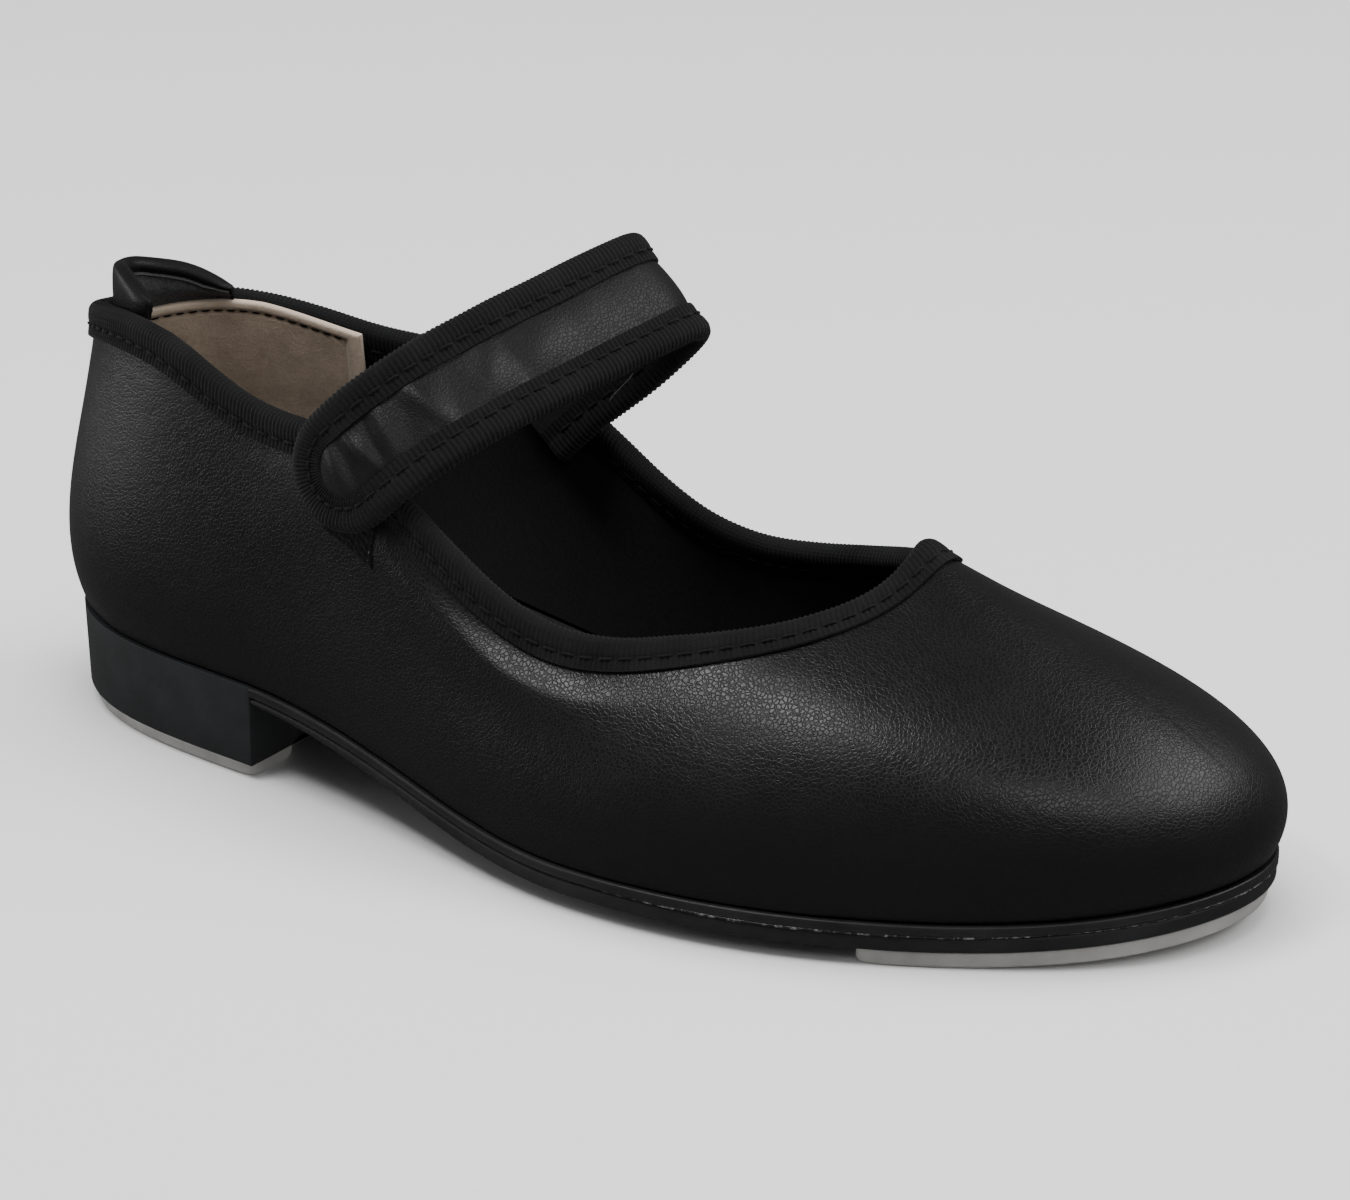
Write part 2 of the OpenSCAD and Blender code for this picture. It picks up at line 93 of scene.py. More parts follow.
# One row per station: sole edge x, y; topline x, y, z; bulge and rise above the sole edge;
# reach and fall off the topline.
STATIONS = np.array([
    [109, 8, 50, 6.5, 54.5, 11, 21, 25, 13.5],
    [98.5, -11.5, 50, -2.5, 47.5, 9, 21, 22, 9],
    [78, -25, 41, -15.5, 44, 5, 20, 18, 7.5],
    [47, -39.5, 25, -24, 41.5, 3, 16, 10, 11.5],
    [10, -41, 3, -29.5, 37.5, 2, 14, 6, 14],
    [-25.5, -29.5, -27, -27, 61, 1, 14, 2.5, 16],
    [-57, -24.5, -46, -22.5, 63, 3, 14, 2.5, 18],
    [-92, -20, -83.5, -17.8, 73, 7, 13.5, 2, 18.5],
    [-111.5, 3.5, -110, 2.4, 62.5, 8, 15, 2, 20.5],
    [-93, 27.5, -88, 21, 67.2, 5, 14.5, 1, 18],
    [-60, 28.5, -59, 24, 59.5, 2, 14, 2, 16],
    [-27, 26, -30, 24.5, 64, 0.5, 14, 2, 16],
    [12, 29.5, -3, 26, 38, 0, 14, 4, 13.5],
    [51.5, 41, 20, 26.5, 39, 2, 16, 8, 12.5],
    [83.5, 39.5, 40, 20.5, 44.5, 6, 19, 14, 12.5],
    [103.5, 26.5, 48.5, 12.5, 47.5, 11, 20, 21, 12.5]])
N = len(STATIONS)

# Strap's path on its inner face, from the rounded end over the instep to the sewn inner end.
STRAP = np.array([
    [-42.2, -29.8, 44.8], [-36.2, -29.9, 51.4], [-30, -29.4, 58.8], [-22.8, -25.6, 66.1],
    [-17, -14.5, 71], [-12.5, -2, 74], [-9, 11.5, 76.5], [-6.5, 23.5, 78], [-10.5, 28, 74],
    [-16.5, 25.5, 67], [-24, 20, 60.5], [-30, 17, 54], [-35, 16.5, 48]])
FOLD = 6.35
END = 10
STRAP_T = STRAP_LINING_T + GAP + STRAP_COVER_T
EDGE_D = SHELL_T + GAP + LINING_T
EDGE_MID = EDGE_D/2
EDGE_HALF = EDGE_MID + FOLD_GAP + BINDING_T      # from the edge's middle to the ribbon's face
STRAP_MID = STRAP_T/2
STRAP_HALF = STRAP_MID + GAP + BINDING_T
TOP_IN = 0.5             # the upper stops this far below the topline, inside the binding

RIB = 0.82               # distance between two ribs of the ribbon
ROWS_PER_RIB = 5
SEAM_PITCH = 3.0
STITCH_E = 3.75          # the seam's distance from the folded edge
STITCH_L = 2.25
STITCH_R = 0.21
STITCH_SINK = 0.06
TAPE_T0, TAPE_T1 = 5, 5.45           # the loop tape's ends, the suede's and the tab's, along the topline
PATCH_T0, PATCH_T1 = 6.35, 9.85
TAB_T0, TAB_T1 = 7.12, 8.99
TAB_MID = 8.056
PATCH_SEAM = 1.7         # the suede seam's distance from its cut edge

TOE_SCREWS = [(66, -17), (67, 26), (94, 7)]
HEEL_SCREWS = [(-64, -12), (-64, 18), (-94, 3.5)]


# -------- curves and surfaces
def mix(a, b, f):
    return a + (b - a)*f


def smooth(v):
    c = np.clip(v, 0, 1)
    return c*c*(3 - 2*c)


def bell(v, middle, width):
    return np.exp(-((v - middle)/width)**2)


def unit(v):
    return v/np.linalg.norm(v, axis=-1, keepdims=True)


def waves(a, b, seed):
    """Smooth irregular ripple between about -1.6 and 1.6 over two coordinates."""
    rng = np.random.default_rng(seed)
    count = 6
    total = 0
    for _ in range(count):
        angle, size, phase = rng.uniform(0, 2*PI), rng.uniform(0.6, 1.6), rng.uniform(0, 2*PI)
        total = total + np.sin(size*(a*math.cos(angle) + b*math.sin(angle)) + phase)
    return total/count*1.6


def weights(u):
    return np.stack([(1 - u)**3, 3*u**3 - 6*u**2 + 4, -3*u**3 + 3*u**2 + 3*u + 1, u**3], -1)/6


def loop_at(t):
    t = np.asarray(t, float) % N
    k = np.floor(t).astype(int)
    w = weights(t - k)
    return sum(w[..., i, None]*STATIONS[(k - 1 + i) % N] for i in range(4))


def run_at(u):
    u = np.asarray(u, float)
    k = np.minimum(np.floor(u).astype(int), len(STRAP) - 4)
    w = weights(u - k)
    return sum(w[..., i, None]*STRAP[k + i] for i in range(4))


def spring_z(x):
    return TOE_SPRING*(np.maximum(0, x - SPRING_X)/(TOE_X - SPRING_X))**2


def feather_z(x):
    return BALL_Z + (SEAT_Z - BALL_Z)*smooth((RAMP_X - x)/RAMP_L) + spring_z(x)


def outsole_top(x):
    return feather_z(x) - MIDSOLE_T


def outsole_bottom(x):
    return outsole_top(x) - mix(WAIST_T, OUTSOLE_T, smooth((x + 60)/60))


def edge_dir(t):
    return unit(loop_at(t + 0.05)[..., :2] - loop_at(t - 0.05)[..., :2])


def edge(t, inset=0.0):
    """Plan outline of the sole, moved inwards by inset."""
    d, p = edge_dir(t), loop_at(t)
    return np.stack([p[..., 0] + inset*d[..., 1], p[..., 1] - inset*d[..., 0]], -1)


def edge_out(t):
    d = edge_dir(t)
    return np.stack([-d[..., 1], d[..., 0], 0*d[..., 0]], -1)


def up(z):
    return np.stack([0*z, 0*z, z], -1)


def collar(t):
    """The topline's dip in front of the heel, outer side."""
    return -2.4*np.clip(1 - ((t - 6.2)/0.65)**2, 0, 1)**2


def wall(t, s):
    """Outer surface of the upper: t runs round the shoe, s from the sole's edge (0) to the topline (1)."""
    t, s = np.broadcast_arrays(np.asarray(t, float), np.asarray(s, float))
    r, e, n = loop_at(t), edge(t, FEATHER_IN), edge_out(t)
    p0 = np.concatenate([e, feather_z(e[..., :1])], -1)
    p3 = r[..., 2:5] + up(collar(t % N))
    p1 = p0 + n*r[..., 5:6] + up(r[..., 6])
    p2 = p3 + n*r[..., 7:8] - up(r[..., 8])
    s = s[..., None]
    return (1 - s)**3*p0 + 3*s*(1 - s)**2*p1 + 3*s*s*(1 - s)*p2 + s**3*p3


def wall_out(t, s):
    lo = np.minimum(s, 0.99)
    return unit(np.cross(wall(t, lo + 0.01) - wall(t, lo), wall(t + 0.02, lo) - wall(t - 0.02, lo)))


def skin(t, s, depth):
    depth = np.asarray(depth, float)
    return wall(t, s) - wall_out(t, s)*depth[..., None]


def wall_reach(t):
    """Length of wall for a whole unit of s, as measured just below the topline."""
    return 10*np.linalg.norm(wall(t, 1) - wall(t, 0.9), axis=-1)


def down(t, dist):
    """Place on the wall at a distance below the topline."""
    return 1 - dist/wall_reach(t)


def lining_depth(t, s):
    a = np.abs(np.where(t > 8, t - N, t))
    toe = smooth((2.2 - a)/0.6)*smooth((0.62 - s)/0.12)
    heel = smooth((1.9 - np.abs(t - 8))/0.4)*smooth((0.86 - s)/0.1)
    return SHELL_T + GAP + (STIFFENER_T + GAP)*np.maximum(toe, heel)


def lengths_to(points):
    steps = np.linalg.norm(np.diff(points, axis=0), axis=-1)
    return np.concatenate([[0], np.cumsum(steps)])


class Arc:
    """Length along a curve, and back from a length to the curve's parameter."""

    def __init__(self, curve, lo, hi, count=6001):
        self.t = np.linspace(lo, hi, count)
        self.run = lengths_to(curve(self.t))
        self.length = self.run[-1]

    def at(self, run):
        return np.interp(run, self.run, self.t)

    def run_at(self, t):
        return np.interp(t, self.t, self.run)


TOPLINE = Arc(lambda t: wall(t, 1), 0, N)
STRAP_ARC = Arc(run_at, 0, END - 0.001)


def strap_at(d, y, n):
    """Point at length d from the strap's end, y across it and n above its inner face."""
    d, y, n = np.broadcast_arrays(d, y, n)
    u = STRAP_ARC.at(d)
    along = unit(run_at(np.minimum(u + 0.02, END - 0.001)) - run_at(np.maximum(u - 0.02, 0)))
    lean = mix(-0.16, 0, smooth(u/5))
    w = np.stack([0.7 + 0*u, lean, -0.7 + 0*u], -1)
    across = unit(w - along*np.sum(w*along, -1, keepdims=True))
    return run_at(u) + across*y[..., None] + np.cross(across, along)*n[..., None]


# -------- meshes
def add_object(name, data):
    made = bpy.data.objects.new(name, data)
    bpy.context.scene.collection.objects.link(made)
    return made


def make(name, points, faces, material, run=None, span=None, merge=0.0, sharp=50):
    """A smooth-shaded closed mesh from points in millimetres, with its normals turned outwards."""
    mesh = bpy.data.meshes.new(name)
    mesh.from_pydata(np.asarray(points, float)*MM, [], faces)
    for label, values in (("run", run), ("span", span)):
        if values is not None:
            mesh.attributes.new(label, "FLOAT", "POINT").data.foreach_set(
                "value", np.ravel(values).astype(np.float32))
    bm = bmesh.new()
    bm.from_mesh(mesh)
    if merge:
        bmesh.ops.remove_doubles(bm, verts=bm.verts, dist=merge*MM)
    bmesh.ops.recalc_face_normals(bm, faces=bm.faces)
    bm.to_mesh(mesh)
    bm.free()
    mesh.shade_smooth()
    mesh.set_sharp_from_angle(angle=math.radians(sharp))
    mesh.materials.append(material)
    return add_object(name, mesh)


def quads(rows, cols, loop_rows=False, loop_cols=True, offset=0, caps=False):
    """Faces of a grid of points; caps close its first and last rows."""
    i = np.arange(rows if loop_rows else rows - 1)
    j = np.arange(cols if loop_cols else cols - 1)
    i, j = np.meshgrid(i, j, indexing="ij")
    a, b = i*cols + j, ((i + 1) % rows)*cols + j
    c, d = ((i + 1) % rows)*cols + (j + 1) % cols, i*cols + (j + 1) % cols
    faces = (np.stack([a, b, c, d], -1).reshape(-1, 4) + offset).tolist()
    if caps:
        last = offset + (rows - 1)*cols
        faces += [list(range(offset, offset + cols)), list(range(last, last + cols))]
    return faces


def sweep(name, sections, material, loop=False, **more):
    """Solid from closed cross-sections, an array of rows x columns x 3."""
    faces = quads(*sections.shape[:2], loop_rows=loop, caps=not loop)
    return make(name, sections.reshape(-1, 3), faces, material, **more)


def layer(name, outer, inner, material, loop=False, **more):
    """Solid between an outer and an inner grid of points."""
    return sweep(name, np.concatenate([outer, inner[:, ::-1]], 1), material, loop, **more)


def closed_outline(points, step, soften):
    """The same outline with even steps and its corners rounded off."""
    points = np.concatenate([points, points[:1]])
    lengths = lengths_to(points)
    count = int(lengths[-1]/step)
    runs = np.arange(count)*lengths[-1]/count
    even = np.stack([np.interp(runs, lengths, points[:, k]) for k in (0, 1)], -1)
    half = int(3*soften/step)
    kernel = np.exp(-0.5*(np.arange(-half, half + 1)*step/soften)**2)
    kernel /= kernel.sum()
    return sum(w*np.roll(even, k - half, axis=0) for k, w in enumerate(kernel))


def rim_rings(angles, radius, level, inset=0.0):
    """Rounded edge of a flat part as (inset, level, lift) rings; level is 0 below and 1 above."""
    sign = 1 - 2*level
    return [(inset + radius*(1 - math.sin(q)), level, sign*radius*(1 - math.cos(q))) for q in angles]


def plate(name, outline, low, high, material, low_r, high_r, taper=0.0):
    """Flat plate on a closed outline, with rounded edges; its faces low and high may follow x."""
    along = unit(np.roll(outline, -1, axis=0) - np.roll(outline, 1, axis=0))
    inward = np.stack([-along[:, 1], along[:, 0]], -1)
    x, y = outline.T
    if np.sum(x*np.roll(y, -1) - y*np.roll(x, -1)) < 0:
        inward = -inward
    rings = rim_rings(np.linspace(0, PI/2, 5), low_r, 0, taper)
    rings += rim_rings(np.linspace(PI/2, 0, 5), high_r, 1)
    points = []
    for inset, level, lift in rings:
        p = outline + inward*inset
        points.append(np.column_stack([p, mix(low(p[:, 0]), high(p[:, 0]), level) + lift]))
    faces = quads(len(points), len(outline), caps=True)
    return make(name, np.concatenate(points), faces, material, sharp=35)


def foot_sheet(name, inset, low, high, radius, material, lip=0.0):
    """Foot-shaped sheet with a rounded rim; inset may vary along the outline."""
    around, across = 640, 14
    t = np.arange(around)*N/around
    base = inset(t)
    angles = np.linspace(0.4, PI/2, 4)
    rings = [(radius, 0, 0)] + rim_rings(angles, radius, 0) + [(lip*0.5, 0.5, 0)]
    rings += rim_rings(angles[::-1], radius, 1) + [(radius, 1, 0)]
    points = []
    for extra, level, lift in rings:
        p = edge(t, base + extra)
        points.append(np.column_stack([p, mix(low(p[:, 0]), high(p[:, 0]), level) + lift]))
    faces = quads(len(rings), around)
    total = len(rings)*around
    half = around//2
    rim = edge(t, base + radius)
    f = np.linspace(0, 1, across + 1)[None, :, None]
    left, right = rim[:half + 1, None], rim[(-np.arange(half + 1)) % around][:, None]
    fill = mix(left, right, f)
    for surface in (low, high):
        points.append(np.concatenate([fill, surface(fill[..., :1])], -1).reshape(-1, 3))
        faces += quads(half + 1, across + 1, loop_cols=False, offset=total)
        total += fill.shape[0]*fill.shape[1]
    return make(name, np.concatenate(points), faces, material, merge=0.002, sharp=60)


def tubes(name, centres, normals, radius, material, sides=7):
    """Separate round tubes with tapered ends: centres and normals are tubes x points x 3."""
    along = unit(np.gradient(centres, axis=1))
    side = unit(np.cross(along, normals))
    top = np.cross(side, along)
    count, steps = centres.shape[:2]
    f = np.linspace(0, 1, steps)
    size = radius*np.sqrt(np.clip(1 - np.abs(2*f - 1)**6, 0.05, 1))[None, :, None, None]
    q = np.arange(sides)*2*PI/sides
    ring = side[:, :, None]*np.cos(q)[:, None] + top[:, :, None]*np.sin(q)[:, None]
    points = centres[:, :, None] + ring*size
    faces = []
    for k in range(count):
        faces += quads(steps, sides, offset=k*steps*sides, caps=True)
    return make(name, points.reshape(-1, 3), faces, material, sharp=80)


def stitches(name, place, starts, length, radius, material):
    """A row of stitches: place(run, lift) is a point above the surface at a length along the seam."""
    f = np.linspace(0, 1, 9)
    runs = np.asarray(starts)[:, None] + length*f
    arch = np.sin(PI*f)**0.6
    lift = (radius*(1.3*arch - 0.7))[None] + 0*runs
    centres = place(runs, lift)
    return tubes(name, centres, unit(place(runs, lift + 0.5) - centres), radius, material)


def cut(piece, tools):
    """Cut the tools out of a piece, then throw them away."""
    for tool in tools:
        change = piece.modifiers.new("cut", "BOOLEAN")
        change.object = tool
        change.operation = "DIFFERENCE"
        change.solver = "EXACT"
        result = piece.evaluated_get(bpy.context.evaluated_depsgraph_get())
        mesh = bpy.data.meshes.new_from_object(result)
        piece.modifiers.clear()
        old = piece.data
        piece.data = mesh
        bpy.data.meshes.remove(old)
        bpy.data.objects.remove(tool)


def lathe(name, profile, centre, material):
    """Turned solid about a vertical axis from (radius, height) pairs."""
    sides = 48
    q = np.arange(sides)*2*PI/sides
    rows = [np.column_stack([centre[0] + r*np.cos(q), centre[1] + r*np.sin(q), centre[2] + z + 0*q])
            for r, z in profile]
    faces = quads(len(rows), sides, caps=True)
    return make(name, np.concatenate(rows), faces, material, sharp=40)


# -------- materials
def scaled(color, factor):
    return tuple(factor*v for v in color)


class Paint:
    """A node material: helper calls add nodes and return their output sockets."""

    def __init__(self, name, color, roughness, **sockets):
        self.material = bpy.data.materials.new(name)
        self.material.use_nodes = True
        self.nodes = self.material.node_tree.nodes
        self.links = self.material.node_tree.links
        self.shader = self.nodes["Principled BSDF"]
        self.set(self.shader, "Base Color", (*color, 1))
        self.set(self.shader, "Roughness", roughness)
        for label, value in sockets.items():
            self.set(self.shader, label.replace("_", " "), value)

    def set(self, node, socket, value):
        if isinstance(value, bpy.types.NodeSocket):
            self.links.new(value, node.inputs[socket])
        else:
            node.inputs[socket].default_value = value

    def node(self, kind, out=0, props=(), **sockets):
        made = self.nodes.new("ShaderNode" + kind)
        for label, value in dict(props).items():
            setattr(made, label, value)
        for label, value in sockets.items():
            self.set(made, int(label[1:]) if label[0] == "_" and label[1:].isdigit()
                     else label.replace("_", " "), value)
        return made.outputs[out]

    def place(self, scale=(1, 1, 1)):
        """Object coordinates in millimetres, stretched by scale."""
        at = self.node("TexCoord", out="Object")
        size = scaled(scale, 1/MM)
        return self.node("VectorMath", props={"operation": "MULTIPLY"}, _0=at, _1=size)

    def noise(self, scale, detail=3.0, rough=0.5, vector=None):
        return self.node("TexNoise", Vector=vector or self.place(), Scale=scale, Detail=detail,
                         Roughness=rough)

    def cells(self, scale, feature="DISTANCE_TO_EDGE", vector=None):
        return self.node("TexVoronoi", props={"feature": feature}, Vector=vector or self.place(),
                         Scale=scale)

    def math(self, operation, a, b=0.0):
        return self.node("Math", props={"operation": operation}, _0=a, _1=b)

    def add(self, a, b):
        return self.math("ADD", a, b)

    def mul(self, a, b):
        return self.math("MULTIPLY", a, b)

    def span(self, value, a, b, c=0.0, d=1.0):
        """Value from a..b moved to c..d, clamped."""
        return self.node("MapRange", Value=value, From_Min=a, From_Max=b, To_Min=c, To_Max=d)

    def blend(self, f, a, b):
        made = self.nodes.new("ShaderNodeMix")
        made.data_type = "RGBA"
        self.set(made, 0, f)
        self.set(made, 6, a if isinstance(a, bpy.types.NodeSocket) else (*a, 1))
        self.set(made, 7, b if isinstance(b, bpy.types.NodeSocket) else (*b, 1))
        return made.outputs[2]

    def attribute(self, label):
        return self.node("Attribute", out="Fac", props={"attribute_name": label})

    def color(self, f, a, b):
        self.set(self.shader, "Base Color", self.blend(f, a, b))

    def rough(self, value, a, b, c, d):
        self.set(self.shader, "Roughness", self.span(value, a, b, c, d))

    def bump(self, height, depth, under=None):
        """Bump whose full height is depth millimetres; under is a bump below it."""
        made = self.nodes.new("ShaderNodeBump")
        self.set(made, "Strength", 1.0)
        self.set(made, "Distance", depth*MM)
        self.set(made, "Height", height)
        if under is not None:
            self.set(made, "Normal", under)
        self.set(self.shader, "Normal", made.outputs[0])
        return made.outputs[0]


def vinyl(name, grain=1.45, depth=0.021, tone=0.0046, rough=0.31, shine=0.5):
    """Coated leatherette: pebbles with creases between them, and a soft semi-matt finish."""
    p = Paint(name, (tone, tone*0.97, tone*1.04), rough, Specular_IOR_Level=shine)
    wobble = p.node("TexNoise", out="Color", Vector=p.place(), Scale=0.6, Detail=1.0)
    shift = p.node("VectorMath", props={"operation": "MULTIPLY_ADD"}, _0=wobble, _1=(0.5, 0.5, 0.5),
                   _2=p.place())
    pebbles = p.span(p.cells(grain, vector=shift), 0.0, 0.17)
    fine = p.cells(grain*2.3, feature="F1", vector=shift)
    height = p.add(pebbles, p.mul(fine, -0.45))
    worn = p.noise(0.045, detail=4.0, rough=0.6)
    under = p.bump(p.noise(0.33, detail=2.0), 0.06)
    p.bump(height, depth, under)
    creases = p.mul(p.math("SUBTRACT", 1.0, pebbles), 0.16)
    base = p.span(worn, 0.3, 0.7, rough - 0.05, rough + 0.06)
    p.set(p.shader, "Roughness", p.add(base, creases))
    dark, light = scaled((0.78, 0.75, 0.8), tone), scaled((1.25, 1.2, 1.3), tone)
    p.color(p.add(p.mul(pebbles, 0.35), p.mul(worn, 0.6)), dark, light)
    return p.material


def grosgrain(name, tone=0.005):
    """Ribbed ribbon: the ribs are in the mesh; fine threads run across them."""
    p = Paint(name, (tone, tone, tone*1.05), 0.8, Sheen_Weight=0.05, Sheen_Roughness=0.45,
              Specular_IOR_Level=0.25)
    run, span = p.attribute("run"), p.attribute("span")
    threads = p.math("SINE", p.mul(span, 2*PI/0.36))
    turns = p.math("SINE", p.mul(p.add(run, p.mul(span, 0.35)), 2*PI/0.27))
    fuzz = p.noise(4.5, detail=3.0, rough=0.7)
    weave = p.add(p.mul(threads, 0.5), p.mul(turns, 0.3))
    p.bump(p.add(weave, p.mul(fuzz, 0.9)), 0.035)
    worn = p.noise(0.12, detail=3.0)
    p.color(p.span(p.add(fuzz, worn), 0.7, 1.3), (tone*0.6, tone*0.6, tone*0.64),
            (tone*1.7, tone*1.72, tone*1.85))
    return p.material


def cloth(name, tone, pitch=0.55, sheen=0.15, depth=0.05):
    """Close knitted or woven cloth."""
    color = scaled((1, 1, 1.06), tone)
    p = Paint(name, color, 0.93, Sheen_Weight=sheen, Sheen_Roughness=0.5, Specular_IOR_Level=0.2)
    knit = p.cells(1/pitch, feature="SMOOTH_F1")
    fuzz = p.noise(3.2, detail=4.0, rough=0.7)
    p.bump(p.add(p.mul(knit, -1.0), p.mul(fuzz, 0.6)), depth)
    p.color(p.span(p.add(knit, fuzz), 0.5, 1.3), scaled(color, 1.35),
            scaled(color, 0.6))
    return p.material


def suede(name, color, rim):
    """Napped microsuede; the attribute span is the distance from its cut edge."""
    p = Paint(name, color, 0.97, Sheen_Weight=0.35, Sheen_Roughness=0.4, Specular_IOR_Level=0.15)
    nap = p.noise(2.6, detail=5.0, rough=0.75)
    mottle = p.noise(0.16, detail=3.0, rough=0.6)
    dark, light = scaled(color, 0.74), scaled(color, 1.22)
    body = p.blend(p.span(p.add(nap, mottle), 0.7, 1.35), dark, light)
    near = p.span(p.attribute("span"), 0.7, 1.5, 1.0, 0.0)
    p.set(p.shader, "Base Color", p.blend(near, body, rim))
    p.bump(nap, 0.16, p.bump(p.cells(0.8, feature="F1"), 0.05))
    return p.material


def rubber(name, tone, rough, speckle=1.5, depth=0.03, tint=(1, 1, 1.05)):
    """Moulded sole and heel material, slightly uneven and dusty."""
    color = scaled(tint, tone)
    p = Paint(name, color, rough, Specular_IOR_Level=0.45)
    grain = p.noise(speckle, detail=4.0, rough=0.65)
    scuff = p.noise(0.07, detail=5.0, rough=0.7)
    p.bump(grain, depth, p.bump(p.noise(0.4, detail=1.0), 0.05))
    p.rough(p.add(grain, scuff), 0.6, 1.4, rough - 0.08, rough + 0.16)
    p.color(p.span(scuff, 0.35, 0.75), scaled(color, 0.8), scaled(color, 1.5))
    return p.material


def metal(name, tone, rough, stretch=(1, 1, 1), tint=(1, 0.985, 0.955), shine=1.0):
    """Brushed or tumbled metal with fine scratches and cloudy wear."""
    color = scaled(tint, tone)
    p = Paint(name, color, rough, Metallic=shine)
    brushed = p.noise(2.2, detail=5.0, rough=0.7, vector=p.place(stretch))
    cloud = p.noise(0.09, detail=4.0, rough=0.6)
    scratch = p.span(p.cells(0.35, vector=p.place((1, 0.25, 1))), 0.0, 0.03)
    p.bump(p.add(brushed, p.mul(scratch, 0.5)), 0.012)
    p.rough(p.add(brushed, cloud), 0.6, 1.4, rough - 0.08, rough + 0.14)
    p.color(p.span(cloud, 0.3, 0.7), scaled(color, 0.82), scaled(color, 1.12))
    return p.material


def board(name, light, dark, scale, rough=0.9):
    """Pressed fibre or cork: flecks in a paler ground."""
    p = Paint(name, light, rough)
    flecks = p.cells(scale, feature="F1", vector=p.place((0.5, 1, 1)))
    fibre = p.noise(scale*1.7, detail=4.0, rough=0.7, vector=p.place((0.3, 1, 1)))
    p.color(p.span(p.add(flecks, fibre), 0.6, 1.3), light, dark)
    p.bump(fibre, 0.08)
    return p.material


def thread(name, tone, tint=(1, 1, 1.05)):
    """Twisted sewing thread."""
    color = scaled(tint, tone)
    p = Paint(name, color, 0.75, Sheen_Weight=0.05, Specular_IOR_Level=0.2)
    twist = p.node("TexWave", props={"bands_direction": "DIAGONAL"}, Vector=p.place(), Scale=1.3,
                   Distortion=0.4)
    p.bump(twist, 0.04)
    p.color(twist, scaled(color, 0.7), scaled(color, 1.3))
    return p.material


def glue(name):
    """Thin dried cement squeezed out between two sole sheets: dark, with its lump tops painted pale as
    painted glints.
    """
    p = Paint(name, (0.03, 0.03, 0.032), 0.3)
    lumps = p.noise(0.9, detail=3.0)
    p.bump(lumps, 0.12)
    # Pale on the lump tops: painted glints of light on the dark cement, whose own colour is the dark end.
    p.color(p.span(lumps, 0.50, 0.66), (0.010, 0.010, 0.011), (0.12, 0.12, 0.125))
    p.rough(lumps, 0.3, 0.7, 0.35, 0.15)
    return p.material


UPPER = vinyl("upper_vinyl")
STRAP_VINYL = vinyl("strap_vinyl", grain=1.6, depth=0.024, tone=0.0095, rough=0.34, shine=0.30)
TAB_VINYL = vinyl("tab_vinyl", grain=1.5, depth=0.02, tone=0.006, rough=0.40, shine=0.28)
RIBBON = grosgrain("grosgrain")
LINING = cloth("lining_cloth", 0.0075)
SOCK = cloth("sock_cloth", 0.009, pitch=0.8)
FACING = cloth("tab_facing_cloth", 0.075, pitch=0.4, sheen=0.1)
SUEDE = suede("heel_suede", (0.41, 0.325, 0.25), (0.56, 0.455, 0.36))
SOLE = rubber("sole_rubber", 0.011, 0.48)
MIDSOLE = rubber("midsole_edge", 0.012, 0.38, speckle=0.9)
# The piping's pale tone is a painted highlight along the ridge under the tab's rolled edge, not the piping's
# own colour.
PAINTED_HIGHLIGHT_PIPING = rubber("tab_piping_painted_highlight", 0.05, 0.35, tint=(1, 1, 1.02))
HEEL = rubber("heel_plastic", 0.0125, 0.55, speckle=2.2, depth=0.015, tint=(0.93, 1, 1.12))
GLUE = glue("glue_line")
TAP = metal("tap_alloy", 0.72, 0.42, stretch=(0.15, 1, 1), shine=0.72)
STEEL = metal("screw_steel", 0.45, 0.30, stretch=(1, 1, 0.2), tint=(1, 0.99, 0.97))
SHANK = metal("shank_steel", 0.30, 0.35, stretch=(0.1, 1, 1), tint=(0.9, 0.97, 1.08))
THREAD = thread("black_thread", 0.0055)
PALE_THREAD = thread("pale_thread", 0.10, tint=(1, 0.98, 0.95))
FIBREBOARD = board("fibreboard", (0.42, 0.31, 0.2), (0.26, 0.18, 0.11), 0.6)
CORK = board("filler_cork", (0.30, 0.2, 0.12), (0.12, 0.075, 0.04), 0.45)
STIFFENER = board("stiffener_sheet", (0.55, 0.5, 0.42), (0.42, 0.38, 0.31), 1.4, rough=0.6)
HOOKS = cloth("hook_pile", 0.0045, pitch=0.5, depth=0.12, sheen=0.03)


def finish(piece, slot, *nodes, body="shoe"):
    """Body and replaced CAD nodes of a piece; its finish, slot, is not used."""
    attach(piece, body)
    if nodes:
        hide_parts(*nodes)


# -------- sole unit
def in_block(t):
    """1 where a sole sheet's edge is hidden in the heel block."""
    return smooth((BREAST_X - 0.6 - loop_at(t)[..., 0])/0.8)


def lining_inset(t):
    """Distance from the sole's edge in to the lining, just above the sock liner."""
    inner = skin(t, 0.1 + 0*t, lining_depth(t, 0.1 + 0*t) + LINING_T + 0.35)
    return np.sum((edge(t) - inner[..., :2])*edge_out(t)[..., :2], -1)


